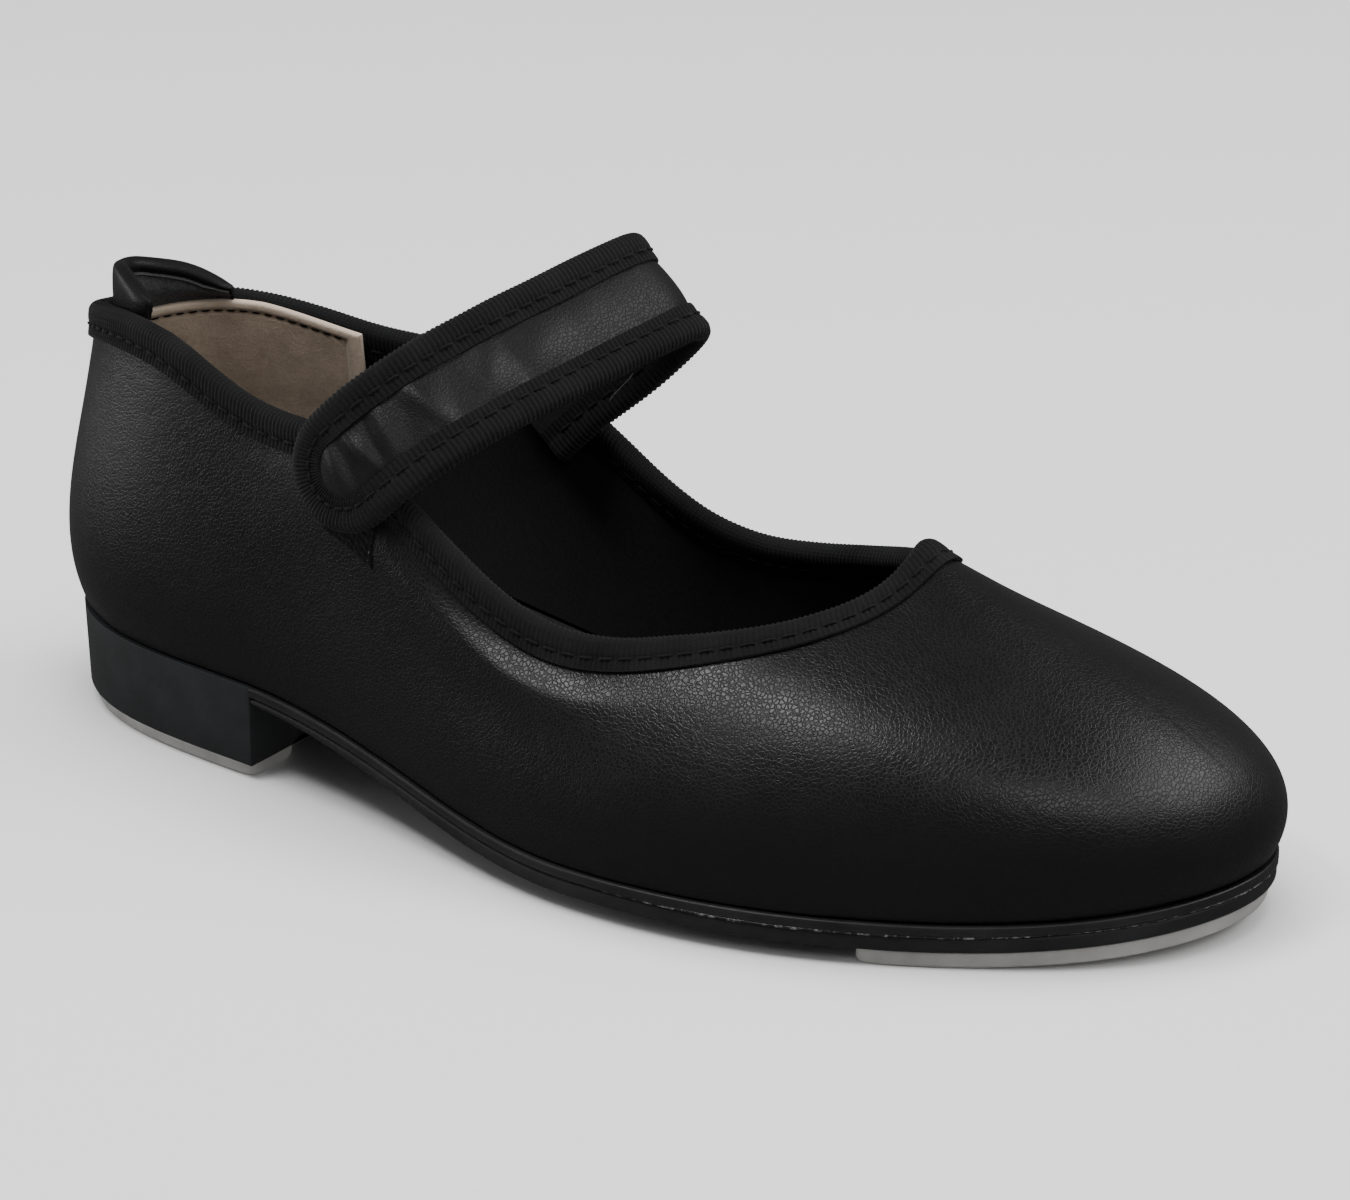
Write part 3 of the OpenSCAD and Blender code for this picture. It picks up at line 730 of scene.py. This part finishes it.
def make_sole():
    outsole = foot_sheet("outsole_sheet", lambda t: 0.3 + 0.5*in_block(t), outsole_bottom,
                         lambda x: outsole_top(x) - GAP, 0.7, SOLE)
    finish(outsole, "sole_rubber", "outsole")
    midsole = foot_sheet("midsole_sheet", lambda t: 0.05 + 0.6*in_block(t), outsole_top,
                         lambda x: feather_z(x) - GAP, 0.45, MIDSOLE, lip=0.35)
    finish(midsole, "midsole_board", "midsole")
    sock = foot_sheet("sock_liner_sheet", lining_inset,
                      lambda x: feather_z(x) + SHELL_T + BOARD_T + 2*GAP,
                      lambda x: feather_z(x) + SHELL_T + BOARD_T + 2*GAP + SOCK_T, 0.5, SOCK)
    finish(sock, "sock_fabric", "sock_liner")

    # Cement line between the two sheets: a wavering bead that comes and goes
    t = np.linspace(-4.0, 4.0, 900)
    run = t*30
    p = edge(t, 0.27)
    beads = 0.14 + 0.10*waves(run/9, 0*t, 5) + 0.05*waves(run/1.7, 0*t, 6)
    radius = np.clip(beads, 0.02, 0.26)*smooth((4.0 - np.abs(t))/0.8)
    centre = np.column_stack([p, outsole_top(p[:, 0]) - 0.02 + 0.06*waves(run/7, 0*t, 7)])
    q = (np.arange(8)*2*PI/8)[:, None]
    ring = edge_out(t)[:, None]*np.cos(q) + np.array([0, 0, 1])*np.sin(q)
    ring = centre[:, None] + radius[:, None, None]*ring
    finish(sweep("sole_cement_line", ring, GLUE, sharp=180), "midsole_board")


def outline_where(inset, keep):
    """Stretch of the sole's outline, moved in by inset, where keep(x) holds, in order."""
    t = np.linspace(0, N, 4001)[:-1]
    p = edge(t, inset)
    ok = keep(p[:, 0])
    start = np.flatnonzero(ok & ~np.roll(ok, 1))[0]
    p, ok = np.roll(p, -start, axis=0), np.roll(ok, -start)
    return p[ok]


def arc_cut(first, last, x_line, centre, radius):
    """Straight cut at x_line from first back to last, hollowed by a circle."""
    half = math.sqrt(radius**2 - (x_line - centre[0])**2)
    sign = 1 if first[1] > last[1] else -1
    ends = centre[1] + sign*half, centre[1] - sign*half
    side = math.copysign(1, x_line - centre[0])
    y = np.linspace(ends[0], ends[1], 60)
    x = centre[0] + side*np.sqrt(radius**2 - (y - centre[1])**2)
    lead = np.column_stack([[x_line]*12, np.linspace(first[1], ends[0], 12)])
    tail = np.column_stack([[x_line]*12, np.linspace(ends[1], last[1], 12)])
    return np.concatenate([lead, np.column_stack([x, y]), tail])


def tap_plate(name, arc, cut_line, thickness, screws, corner):
    """Tap with its countersunk screw holes, bent up to follow the sole's toe spring."""
    outline = closed_outline(np.concatenate([arc, cut_line]), 0.5, corner)
    tap = plate(name, outline, lambda x: 0*x, lambda x: 0*x + thickness - GAP, TAP, 0.75, 0.45)
    hole, seat = SCREW_R + 0.2, SCREW_HEAD_R + 0.2
    deep = SCREW_RECESS + SCREW_HEAD_H + GAP
    profile = [(hole, thickness + 1), (hole, deep), (seat, deep), (seat, 0.3), (seat + 0.3, -0.01),
               (seat + 0.3, -1)]
    cut(tap, [lathe("hole", profile, (x, y, 0), TAP) for x, y in screws])
    bm = bmesh.new()
    bm.from_mesh(tap.data)
    for x in np.arange(SPRING_X, 108, 1.5):
        bmesh.ops.bisect_plane(bm, geom=bm.verts[:] + bm.edges[:] + bm.faces[:], dist=1e-7,
                               plane_co=(x*MM, 0, 0), plane_no=(1, 0, 0))
    bmesh.ops.triangulate(bm, faces=[f for f in bm.faces if len(f.verts) > 4])
    for v in bm.verts:
        v.co.z += float(spring_z(v.co.x/MM))*MM
    bm.to_mesh(tap.data)
    bm.free()
    tap.data.shade_smooth()
    tap.data.set_sharp_from_angle(angle=math.radians(25))
    return tap


def make_taps():
    arc = outline_where(1.2, lambda x: x > TOE_TAP_X)
    line = arc_cut(arc[-1], arc[0], TOE_TAP_X, (TOE_TAP_X - 36, 4), 44)
    toe = tap_plate("toe_tap_plate", arc, line, TOE_TAP_T, TOE_SCREWS, 3.2)
    finish(toe, "tap_alloy", "toe_tap")
    arc = outline_where(1.4, lambda x: x < BREAST_X - 1)
    line = arc_cut(arc[-1], arc[0], BREAST_X - 1, (BREAST_X + 16, 4), 24)
    heel = tap_plate("heel_tap_plate", arc, line, HEEL_TAP_T, HEEL_SCREWS, 1.8)
    finish(heel, "tap_alloy", "heel_tap")


def cross_slot(x, y, z, turn):
    """Tapered box that cuts one arm of a screw's cross recess."""
    wide, long = 0.36, 1.5
    c, s = math.cos(turn), math.sin(turn)
    ring = [(a*c - b*s, a*s + b*c)
            for a, b in ((-long, -wide), (long, -wide), (long, wide), (-long, wide))]
    corners = [(x + f*p, y + f*q, z + h) for f, h in ((1, -0.5), (0.55, 0.95)) for p, q in ring]
    return make("slot", corners, quads(2, 4, caps=True), STEEL)


def make_screws():
    """Countersunk heads with a cross recess, facing down."""
    head = SCREW_HEAD_R
    profile = [(head*0.4, 0.0), (head*0.8, 0.03), (head - 0.15, 0.14), (head, 0.32),
               (head, SCREW_HEAD_H - 0.1), (head - 0.1, SCREW_HEAD_H)]
    profile += [(SCREW_R - 0.22*(k % 2), SCREW_HEAD_H + 0.2 + 0.35*k) for k in range(13)]
    profile.append((0.25, SCREW_L))
    for group, places in (("toe", TOE_SCREWS), ("heel", HEEL_SCREWS)):
        for k, (x, y) in enumerate(places):
            z = float(spring_z(x)) + SCREW_RECESS
            screw = lathe(f"{group}_tap_screw_{k + 1}", profile, (x, y, z), STEEL)
            cut(screw, [cross_slot(x, y, z, turn) for turn in (0.35 + k, 0.35 + k + PI/2)])
            finish(screw, "screw_steel", f"{group}_tap_screws")


def make_heel_block():
    arc = outline_where(0.0, lambda x: x < BREAST_X)
    line = arc_cut(arc[-1], arc[0], BREAST_X, (BREAST_X + 78, 4), 80)
    outline = closed_outline(np.concatenate([arc, line]), 0.5, 0.45)
    block = plate("heel_block_body", outline, lambda x: HEEL_TAP_T + 0*x, lambda x: feather_z(x) - 0.06,
                  HEEL, 0.35, 0.10, taper=0.5)
    finish(block, "heel_plastic", "heel_block")


# -------- upper
def soft_dents(t, s):
    """How far the outer skin stands off its smooth shape: slack, dents and a puff under the binding."""
    slack = 0.16*waves(t*1.9, s*4.2, 11)*smooth(s/0.2)*smooth((1 - s)/0.15)
    quarter = -0.35*bell(t, 5.55, 0.35)*bell(s, 0.5, 0.22) - 0.3*bell(t, 4.5, 0.3)*bell(s, 0.45, 0.25)
    under_bind = 0.22*bell(s, 0.9, 0.05)*waves(t*7, s*2, 13)
    lasting = 0.07*waves(t*17, s*6, 14)*bell(s, 0.03, 0.05)
    below = (1 - s)*wall_reach(t)
    puff = 1.35*bell(t, 4.15, 0.8)*smooth((below - BINDING_W + 0.3)/6.5)*bell(below, 10.5, 7)
    return slack + quarter + under_bind + lasting + puff


def make_shell():
    around = 760
    t = np.arange(around)*N/around
    tt = t[:, None]
    s = np.concatenate([np.linspace(0, 0.1, 14)[:-1], np.linspace(0.1, 1, 84)])*down(tt, TOP_IN)
    outer = skin(tt, s, -soft_dents(tt, s))
    inner = skin(tt, s[:, 3::4], SHELL_T + 0*s[:, 3::4])
    outer[:, 0, 2] = feather_z(edge(t, FEATHER_IN)[:, 0]) + 0.35

    def under(inset, lift):
        p = edge(t, FEATHER_IN + inset)
        return np.column_stack([p, feather_z(p[:, 0]) + lift])

    # The lasted edge turns under in a small roll, then lies flat as the lasting margin
    rows = [under(MARGIN_W, SHELL_T), under(MARGIN_W, GAP)]
    radius = 0.5
    for q in (PI/8, PI/4, PI*3/8):
        rows.append(under(radius*(1 - math.sin(q)) + 0.1, radius*(1 - math.cos(q)) - 0.02))
    corner = under(SHELL_T, SHELL_T)
    section = np.concatenate([np.stack(rows, 1), outer, inner[:, ::-1], corner[:, None]], 1)
    finish(sweep("upper_body", section, UPPER, loop=True), "upper_vinyl", "upper_shell")


def make_lining():
    around = 560
    t = np.arange(around)[:, None]*N/around
    s = np.linspace(0.1, 1, 60)*down(t, TOP_IN)
    depth = lining_depth(t, s)
    slack = 0.12*waves(t*5, s*9, 21)*smooth((1 - s)/0.2)
    inner = skin(t, s, depth + LINING_T + slack)
    outer = skin(t, s, depth)
    piece = layer("lining_cloth_body", outer[:, ::3], inner, LINING, loop=True)
    finish(piece, "lining_fabric", "upper_lining")


def ribbon_lift(e, run, seed):
    """Height of the ribbon's face over its plain face at a distance e from the fold."""
    rib = 0.11*(np.cos(2*PI*run/RIB) - 0.3)
    seam = 0.5 + 0.5*np.cos(2*PI*run/SEAM_PITCH)
    groove = -(0.12 + 0.10*seam)*bell(e, STITCH_E, 0.5)
    roll = 0.16*np.sin(PI*np.clip(e/STITCH_E, 0, 1))
    lip = -0.10*smooth((e - STITCH_E)/0.9)
    ripple = 0.05*waves(run/2.3, e, seed)
    return rib*smooth((BINDING_W + 0.25 - e)/0.5) + groove + roll + lip + ripple


def fold_ribbon(name, place, phase, run, width, half, nose, steps, reach, seeds, loop=False):
    """Ribbon folded over an edge: place(e, n) is the point e in from the edge and n off its middle."""
    face = np.concatenate([[1.0, 0.97], np.linspace(0.93, nose/BINDING_W, steps)])*width
    back = face[:, ::-1]
    q = np.linspace(0, PI, 11)[None, 1:-1]
    lift = ribbon_lift(0*q + 0.6, phase, seeds[2])
    parts = [place(face, half + ribbon_lift(face, phase, seeds[0])),
             place(nose - (nose + lift)*np.sin(q), (half + lift)*np.cos(q)),
             place(back, -half - ribbon_lift(back, phase, seeds[1]))]
    inside = half - BINDING_T
    for e, n in ((BINDING_W, -inside), (reach, -inside), (reach, inside), (BINDING_W, inside)):
        parts.append(place(e + 0*phase, n + 0*phase))
    section = np.concatenate(parts, 1)
    middle = np.linspace(-nose, nose, 9) + 0*width
    span = np.concatenate([-face, middle, back] + [0*width]*4, 1)
    run = np.repeat(run, section.shape[1])
    return sweep(name, section, RIBBON, loop=loop, run=run, span=span, sharp=70)


def make_topline_binding():
    rows = np.arange(round(TOPLINE.length/RIB)*ROWS_PER_RIB)
    run = rows*TOPLINE.length/len(rows)
    phase = (rows/ROWS_PER_RIB*RIB)[:, None]
    t = TOPLINE.at(run)[:, None]
    width = BINDING_W + 0.12*waves(run/6, 0*run, 31)[:, None]

    def at(e, n):
        return skin(t, down(t, e), EDGE_MID - n)
    piece = fold_ribbon("topline_ribbon", at, phase, run, width, EDGE_HALF, nose=1.25, steps=13,
                        reach=1.5, seeds=(31, 33, 31), loop=True)
    finish(piece, "grosgrain", "topline_binding")

    starts = (np.arange(int(TOPLINE.length/SEAM_PITCH)) + 0.12)*SEAM_PITCH
    for side, label in ((-1, "outer"), (1, "inner")):
        def place(r, lift, side=side):
            tr = TOPLINE.at(r % TOPLINE.length)
            depth = EDGE_MID + side*(EDGE_HALF - STITCH_SINK + lift)
            return skin(tr, down(tr, STITCH_E), depth)
        piece = stitches(f"topline_seam_{label}", place, starts, STITCH_L, STITCH_R, THREAD)
        finish(piece, "grosgrain")


TAB_D = EDGE_D + FOLD_GAP + BINDING_T + 0.35
PATCH_D = TAB_D + 0.6


def patch_top(t):
    """Distance of the suede's cut edge below the topline: it rises to a peak at the tab's inner end."""
    a = np.abs(t - 8.1)
    inner = np.where(a < 1.1, mix(2.1, 0.35, a/1.1), mix(0.35, 0.8, a - 1.1))
    return np.where(t < 8.1, mix(2.1, 2.7, np.minimum(1, a)), inner)


def make_patch():
    """Suede round the inside of the heel, with a cut edge and a row of stitches."""
    t = np.linspace(PATCH_T0, PATCH_T1, 360)[:, None]
    top = down(t, patch_top(t))
    s = mix(0.2, top, np.concatenate([np.linspace(0, 0.9, 34), np.linspace(0.9, 1, 16)[1:]]))
    ends = np.minimum(t - PATCH_T0, PATCH_T1 - t)*16
    from_edge = np.minimum((top - s)*wall_reach(t), ends)
    puff = 0.30*smooth((2.1 - from_edge)/0.8)*smooth(from_edge/0.35) - 0.30*bell(from_edge, 1.7, 0.3)
    inner = skin(t, s, PATCH_D + 0.7 + puff + 0.06*waves(t*9, s*14, 41))
    outer = skin(t, s, PATCH_D + 0*s)
    span = np.concatenate([from_edge, 0*from_edge], 1)
    piece = layer("heel_suede_patch", inner, outer, SUEDE, span=span, sharp=60)
    finish(piece, "suede", "heel_lining_patch")

    def on_seam(a, lift):
        return skin(a, down(a, patch_top(a) + PATCH_SEAM), PATCH_D + lift + 0*a)
    seam = Arc(lambda a: on_seam(a, 0), PATCH_T0 + 0.07, PATCH_T1 - 0.07, 2001)
    starts = np.arange(0.4, seam.length - 2.2, 2.15)
    piece = stitches("heel_patch_seam", lambda r, lift: on_seam(seam.at(r), 0.58 + lift), starts, 1.55,
                     0.19, THREAD)
    finish(piece, "suede")


def spline(points, count):
    """Smooth open curve through a short list of points."""
    p = np.array(points, float)
    p = np.concatenate([2*p[:1] - p[1:2], p, 2*p[-1:] - p[-2:-1]])
    out = []
    for u in np.linspace(0, len(points) - 1.0001, count):
        k = int(u)
        f = u - k
        a, b, c, d = p[k:k + 4]
        out.append(0.5*(2*b + (c - a)*f + (2*a - 5*b + 4*c - d)*f*f + (3*b - a - 3*c + d)*f**3))
    return np.array(out)


def tab_sweep(name, profile, t, material):
    """Solid along the heel tab; profile gives pairs of depth from its back and height over the topline."""
    rows = []
    for tk in t:
        a = abs(tk - TAB_MID)/1.05
        crest = TAB_RISE*(1 - a**2.2) + 0.10*math.sin(11*tk)
        foot = -float(patch_top(tk)) - 2.5
        neck = min(foot + 2.7, crest - 1.4)
        tall = min(1, (crest - neck)/5)
        pts = profile(crest, foot, neck, tall)
        end = smooth(min(tk - TAB_T0, TAB_T1 - tk)/0.10)
        middle = TAB_T*0.45
        depth = TAB_D + middle + (pts[:, :1] - middle)*mix(0.35, 1, end**0.5)
        rows.append(wall(tk, 1) - edge_out(tk)*depth + up(pts[:, 1]))
    return sweep(name, np.array(rows), material, sharp=80)


def tab_skin(crest, foot, neck, tall):
    """Section of the tab: rolled edge, a groove under it on the inner side, a pad, and a thin sewn foot."""
    shape = [(0.05, foot), (-0.02, neck), (-0.12, mix(neck, crest, 0.55)), (0.1, crest - 0.95*tall),
             (0.8, crest - 0.12), (1.65, crest + 0.05), (TAB_T - 0.4, crest - 0.5*tall),
             (TAB_T, crest - 1.3*tall), (TAB_T - 0.12, crest - 2.0*tall), (TAB_T - 0.5, crest - 2.4*tall),
             (TAB_T - 0.75, crest - 3.0*tall), (TAB_T - 1.0, mix(neck, crest, 0.25)), (0.65, neck + 0.1),
             (0.42, neck - 0.5), (0.4, foot)]
    return spline(shape, 72)


def tab_facing(crest, foot, neck, tall):
    """Cloth facing inside the rolled edge, tucked in behind the suede."""
    top = crest - 2.45*tall
    shape = [(0.48, foot + 0.3), (0.52, neck - 0.4), (0.95, neck + 0.2),
             (TAB_T - 0.72, mix(neck, top, 0.45)), (TAB_T - 0.42, top - 0.5*tall),
             (TAB_T - 0.28, top - 0.12), (TAB_T - 0.5, top + 0.12), (TAB_T - 0.9, top - 0.1),
             (TAB_T - 1.2, top - 0.7*tall), (0.7, neck + 0.3), (0.35, neck - 0.5), (0.3, foot + 0.3)]
    return spline(shape, 48)


def tab_ridge(crest, foot, neck, tall):
    """Fine raised piping where the facing meets the rolled edge, painted pale as a painted highlight line.
    """
    q = np.linspace(0, 2*PI, 11)[:-1]
    return np.column_stack([TAB_T - 0.32 + 0.19*np.cos(q), crest - 2.75*tall + 0.19*np.sin(q)])


def make_tab():
    """Padded heel tab: rolled vinyl edge, cloth facing and a fine ridge between them, the ridge painted pale
    as a painted highlight.
    """
    close = 0.12             # the sections are closer together this near to its two ends
    t = np.concatenate([np.linspace(TAB_T0, TAB_T0 + close, 16),
                        np.linspace(TAB_T0 + close, TAB_T1 - close, 110)[1:-1],
                        np.linspace(TAB_T1 - close, TAB_T1, 16)])
    piece = tab_sweep("heel_tab_skin", tab_skin, t, TAB_VINYL)
    finish(piece, "upper_vinyl", "heel_tab", "heel_tab_foam")
    inner = t[3:-3]
    finish(tab_sweep("heel_tab_facing", tab_facing, inner, FACING), "lining_fabric")
    finish(tab_sweep("heel_tab_piping", tab_ridge, inner, PAINTED_HIGHLIGHT_PIPING), "upper_vinyl")


# -------- strap
TIP_R = STRAP_W/2
CUT_D = float(STRAP_ARC.run_at(7.75))       # both halves of the strap meet here, on the riser
FOLD_D = float(STRAP_ARC.run_at(FOLD))
END_D = float(STRAP_ARC.length)
CORE_HALF = STRAP_W/2 - BINDING_W + 1.0
CORE_FROM = 4.3

# Folds across the strap's vinyl: height, distance from its end, width, slant
FOLDS = [
    (0.75, 8.6, 1.5, 0.6), (0.72, 13.4, 1.2, -0.7), (0.35, 17.6, 1.1, 0.5), (0.70, 25.0, 1.7, -0.8),
    (0.62, 35.5, 2.6, 0.9), (0.60, 45.5, 4.0, 0.8), (0.30, 55.0, 3.5, -0.4), (-0.50, 11.0, 1.0, 0.7),
    (-0.40, 15.6, 0.8, 0.5), (-0.40, 21.0, 1.8, 0.4), (-0.55, 29.8, 2.6, 0.6), (-0.30, 40.2, 1.4, -0.6)]


def blend_strap(piece, half, slot, *nodes):
    """Bake the piece in place and hide the CAD nodes it replaces; the points at the stitch line (lower half)
    and the fold (upper half) are worked out, but nothing bends there.
    """
    if half == "riser":
        start, end, a, b = END_D - 5.5, END_D - 12.5, "shoe", "strap_riser"
    else:
        start, end, a, b = FOLD_D + 5.5, FOLD_D - 6.5, "strap_riser", "strap_flap"
    at = [Vector(strap_at(d, 0, STRAP_T)*MM) for d in (start, end)]
    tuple(at[0])
    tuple(at[1])
    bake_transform(piece)
    if nodes:
        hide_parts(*nodes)


def strap_sag(d, y):
    """Lift of the strap's vinyl: a soft crown, and folds across it towards the rounded end."""
    crown = 0.45*(1 - np.clip(np.abs(y)/4.6, 0, 1)**2)
    folds = sum(height*bell(d + 0.35*y*slant, at, width) for height, at, width, slant in FOLDS)
    return crown + folds*(1 - 0.75*np.clip(np.abs(y)/4.8, 0, 1)**2) + 0.05*waves(d/1.6, y/1.6, 51)


def strap_core(name, half, low, high, material, slot, nodes):
    """Vinyl or lining between the two ribbons; its edges are hidden under them."""
    if half == "riser":
        d = np.linspace(CUT_D, END_D, 60)
    else:
        d = np.concatenate([np.linspace(4.5, 9, 30)[:-1], np.linspace(9, CUT_D, 170)])
    x = np.minimum(d - CORE_FROM, CORE_HALF)[:, None]
    y = np.linspace(-1, 1, 25)*np.sqrt(np.clip(2*CORE_HALF*x - x**2, 0.01, None))
    d = d[:, None]
    if material is STRAP_VINYL:
        rise, fall = strap_sag(d, y), 0
    else:
        rise, fall = -0.05*waves(d/3, y, 52), 0.08*waves(d/3, y/2, 53)
    piece = layer(name, strap_at(d, y, high + rise), strap_at(d, y, low + fall), material)
    blend_strap(piece, half, slot, *nodes)


def outline_place(q, e):
    """Flat place (length, across) at run q along the strap's outline, e inside its edge."""
    a, sign = np.abs(q), np.where(q < 0, -1.0, 1.0)
    turn = TIP_R*PI/2
    ang = np.minimum(a, turn)/TIP_R
    straight = np.maximum(a - turn, 0)
    d = TIP_R - (TIP_R - e)*np.cos(ang) + straight
    return d, sign*(TIP_R - e)*np.where(a < turn, np.sin(ang), 1.0)


def strap_ribbon(name, q, half, node):
    """Folded ribbon along a stretch of the outline."""
    q = q[:, None]
    width = BINDING_W + 0.12*waves(q/5, 0*q, 61)

    def at(e, n):
        d, y = outline_place(q, e)
        return strap_at(d, y, STRAP_MID + n)
    piece = fold_ribbon(name, at, q, q, width, STRAP_HALF, nose=1.5, steps=12, reach=1.3, seeds=(62, 63, 64))
    blend_strap(piece, half, "grosgrain", node)


def strap_seam(name, q0, q1, half):
    """A row of stitches on each side of the strap, along its outline from q0 to q1."""
    starts = np.arange(math.ceil(q0/SEAM_PITCH), math.floor(q1/SEAM_PITCH))*SEAM_PITCH + 0.36
    for side, label in ((1, "face"), (-1, "back")):
        def place(r, lift, side=side):
            d, y = outline_place(r, STITCH_E)
            return strap_at(d, y, STRAP_MID + side*(STRAP_HALF - STITCH_SINK + lift))
        piece = stitches(f"{name}_{label}", place, starts, STITCH_L, STITCH_R, THREAD)
        blend_strap(piece, half, "grosgrain")


def make_strap():
    turn = TIP_R*PI/2
    q_cut, q_end = turn + CUT_D - TIP_R, turn + END_D - TIP_R
    step = RIB/6
    last = math.floor(q_cut/step)
    rim = np.concatenate([[-q_cut], np.arange(-last, last + 1)*step, [q_cut]])
    strap_ribbon("flap_ribbon", rim, "flap", "flap_binding")
    rows = np.arange(math.ceil(q_cut/step + 0.01), math.floor(q_end/step))*step
    side = np.concatenate([[q_cut], rows, [q_end]])
    strap_ribbon("riser_ribbon_front", side, "riser", "riser_binding")
    strap_ribbon("riser_ribbon_rear", -side[::-1], "riser", "riser_binding")
    for half, nodes in (("flap", ["flap_cover"]), ("riser", ["riser_cover", "strap_base"])):
        strap_core(f"{half}_vinyl", half, STRAP_LINING_T + GAP, STRAP_T, STRAP_VINYL, "upper_vinyl", nodes)
    for half in ("flap", "riser"):
        strap_core(f"{half}_lining_cloth", half, -0.35, STRAP_LINING_T, LINING, "lining_fabric",
                   [f"{half}_lining"])
    strap_seam("flap_seam", -q_cut, q_cut, "flap")
    strap_seam("riser_seam_front", q_cut, q_end, "riser")
    strap_seam("riser_seam_rear", -q_end, -q_cut, "riser")


def make_tapes():
    """Hook tape under the strap's end and loop tape on the quarter."""
    hook_from, hook_to = 4.6, 29
    half = (STRAP_W - 2*BINDING_W - 1)/2
    d = np.linspace(hook_from, hook_to, 60)[:, None]
    y = np.linspace(-half, half, 13)
    base = -GAP - 0.35
    piece = layer("hook_tape_base", strap_at(d, y, base + 0.25), strap_at(d, y, base - 0.2), HOOKS, sharp=60)
    finish(piece, "touch_tape", "hook_tape", body="strap_flap")
    places = np.meshgrid(np.arange(hook_from + 0.6, hook_to - 0.4, 1.05),
                         np.arange(-half + 0.5, half, 0.85), indexing="ij")
    hd, hy = [v.reshape(-1, 1) for v in places]
    f = np.linspace(0, 1, 8)
    bend = hd + 0.28*(1 - np.cos(f*PI))*0.9
    rise = base - 0.15 - 0.62*np.sin(f*PI*0.72)
    centres = strap_at(bend, hy, rise)
    normals = unit(strap_at(bend, hy + 0.3, rise) - centres)
    piece = tubes("hook_tape_hooks", centres, normals, 0.1, HOOKS, sides=5)
    finish(piece, "touch_tape", body="strap_flap")

    t = np.linspace(TAPE_T0, TAPE_T1, 60)[:, None]
    f = np.linspace(0, 1, 40)[None]
    s = mix(down(t, 15), down(t, BINDING_W + 0.6), f)
    rim = np.minimum(np.minimum(f, 1 - f)*12, np.minimum(t - TAPE_T0, TAPE_T1 - t)*30)
    pile = 0.55*smooth(rim/0.5) + 0.10*waves(t*130, f*34, 71)*smooth(rim/0.6)
    piece = layer("loop_tape_pile", skin(t, s, -GAP - 0.12 - pile), skin(t, s, 0.02 + 0*s), HOOKS, sharp=80)
    finish(piece, "touch_tape", "loop_tape")

    # Bartack at the tape's lower corner, in pale thread
    def tack(r, lift):
        corner = TAPE_T0 + 0.04 + 0*r
        return skin(corner, down(corner, 14.2 - r), -GAP - 0.45 - lift)
    finish(stitches("loop_tape_tack", tack, [0.0, 1.3], 0.9, 0.15, PALE_THREAD), "touch_tape")


def make_loose_thread():
    """Thread end left hanging from the strap's front seam."""
    f = np.linspace(0, 1, 24)
    q = TIP_R*PI/2 + 47.2 - 3.2*f + 0.35*np.sin(f*6)
    d, y = outline_place(q, -0.35 - 1.2*f)
    centres = strap_at(d, y, 0.5 - 4.6*f**1.2)[None]
    normals = unit(np.cross(np.gradient(centres, axis=1), [0.2, 0.9, 0.4]))
    piece = tubes("strap_thread_end", centres, normals, 0.07, PALE_THREAD, sides=6)
    finish(piece, "grosgrain", body="strap_flap")


def paint_hidden():
    """Materials of the CAD parts that stay as they are."""
    hidden = {"heel_nails": STEEL, "insole_board": FIBREBOARD, "steel_shank": SHANK, "shank_rivets": STEEL,
              "bottom_filler": CORK, "toe_puff": STIFFENER, "heel_counter": STIFFENER}
    for node, material in hidden.items():
        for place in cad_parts[node].material_slots:
            place.material = material


# -------- studio
def aim(thing, target):
    thing.rotation_euler = (Vector(target)*MM - thing.location).to_track_quat("-Z", "Y").to_euler()


def area_light(name, place, target, size, power):
    data = bpy.data.lights.new(name, "AREA")
    data.shape = "RECTANGLE"
    data.size = size[0]*MM
    data.size_y = size[1]*MM
    data.energy = power
    light = add_object(name, data)
    light.location = Vector(place)*MM
    aim(light, target)
    return light


def make_studio():
    data = bpy.data.cameras.new("camera")
    camera = add_object("camera", data)
    bpy.context.scene.camera = camera
    azimuth, elevation, distance = math.radians(33), math.radians(21), 798
    target = Vector((8.44, 2.5, 35.2))
    back = Vector((math.sin(azimuth)*math.cos(elevation), -math.cos(azimuth)*math.cos(elevation),
                   math.sin(elevation)))
    camera.location = (target + back*distance)*MM
    aim(camera, target)
    data.sensor_fit = "HORIZONTAL"
    data.sensor_width = 36
    data.lens = 138.1
    data.clip_start = 0.01
    data.clip_end = 20

    bpy.ops.mesh.primitive_plane_add(size=12, location=(0, 0, 0))
    floor = bpy.context.object
    floor.name = "floor"
    paint = Paint("floor_paper", (0.93, 0.93, 0.93), 0.9)
    floor.data.materials.append(paint.material)
    floor.visible_glossy = False

    world = bpy.data.worlds.new("studio")
    bpy.context.scene.world = world
    world.use_nodes = True
    sky = world.node_tree.nodes["Background"]
    sky.inputs[0].default_value = (1, 1, 1, 1)
    sky.inputs[1].default_value = 0.11
    area_light("softbox_front", (-285, -500, 1055), (20, -20, 30), (480, 190), 4.5)
    area_light("softbox_right", (800, 420, 814), (80, 0, 30), (1200, 450), 6.4)
    area_light("softbox_left", (-1120, -250, 180), (-60, 0, 30), (800, 350), 2.7)
    area_light("softbox_side", (775, -569, 769), (20, 0, 30), (700, 350), 1.9)
    ceiling = area_light("ceiling", (0, 0, 1600), (0, 0, 0), (1300, 1300), 34)
    ceiling.visible_glossy = False


make_studio()
make_sole()
make_heel_block()
make_taps()
make_screws()
make_shell()
make_lining()
make_topline_binding()
make_patch()
make_tab()
make_strap()
make_tapes()
make_loose_thread()
paint_hidden()
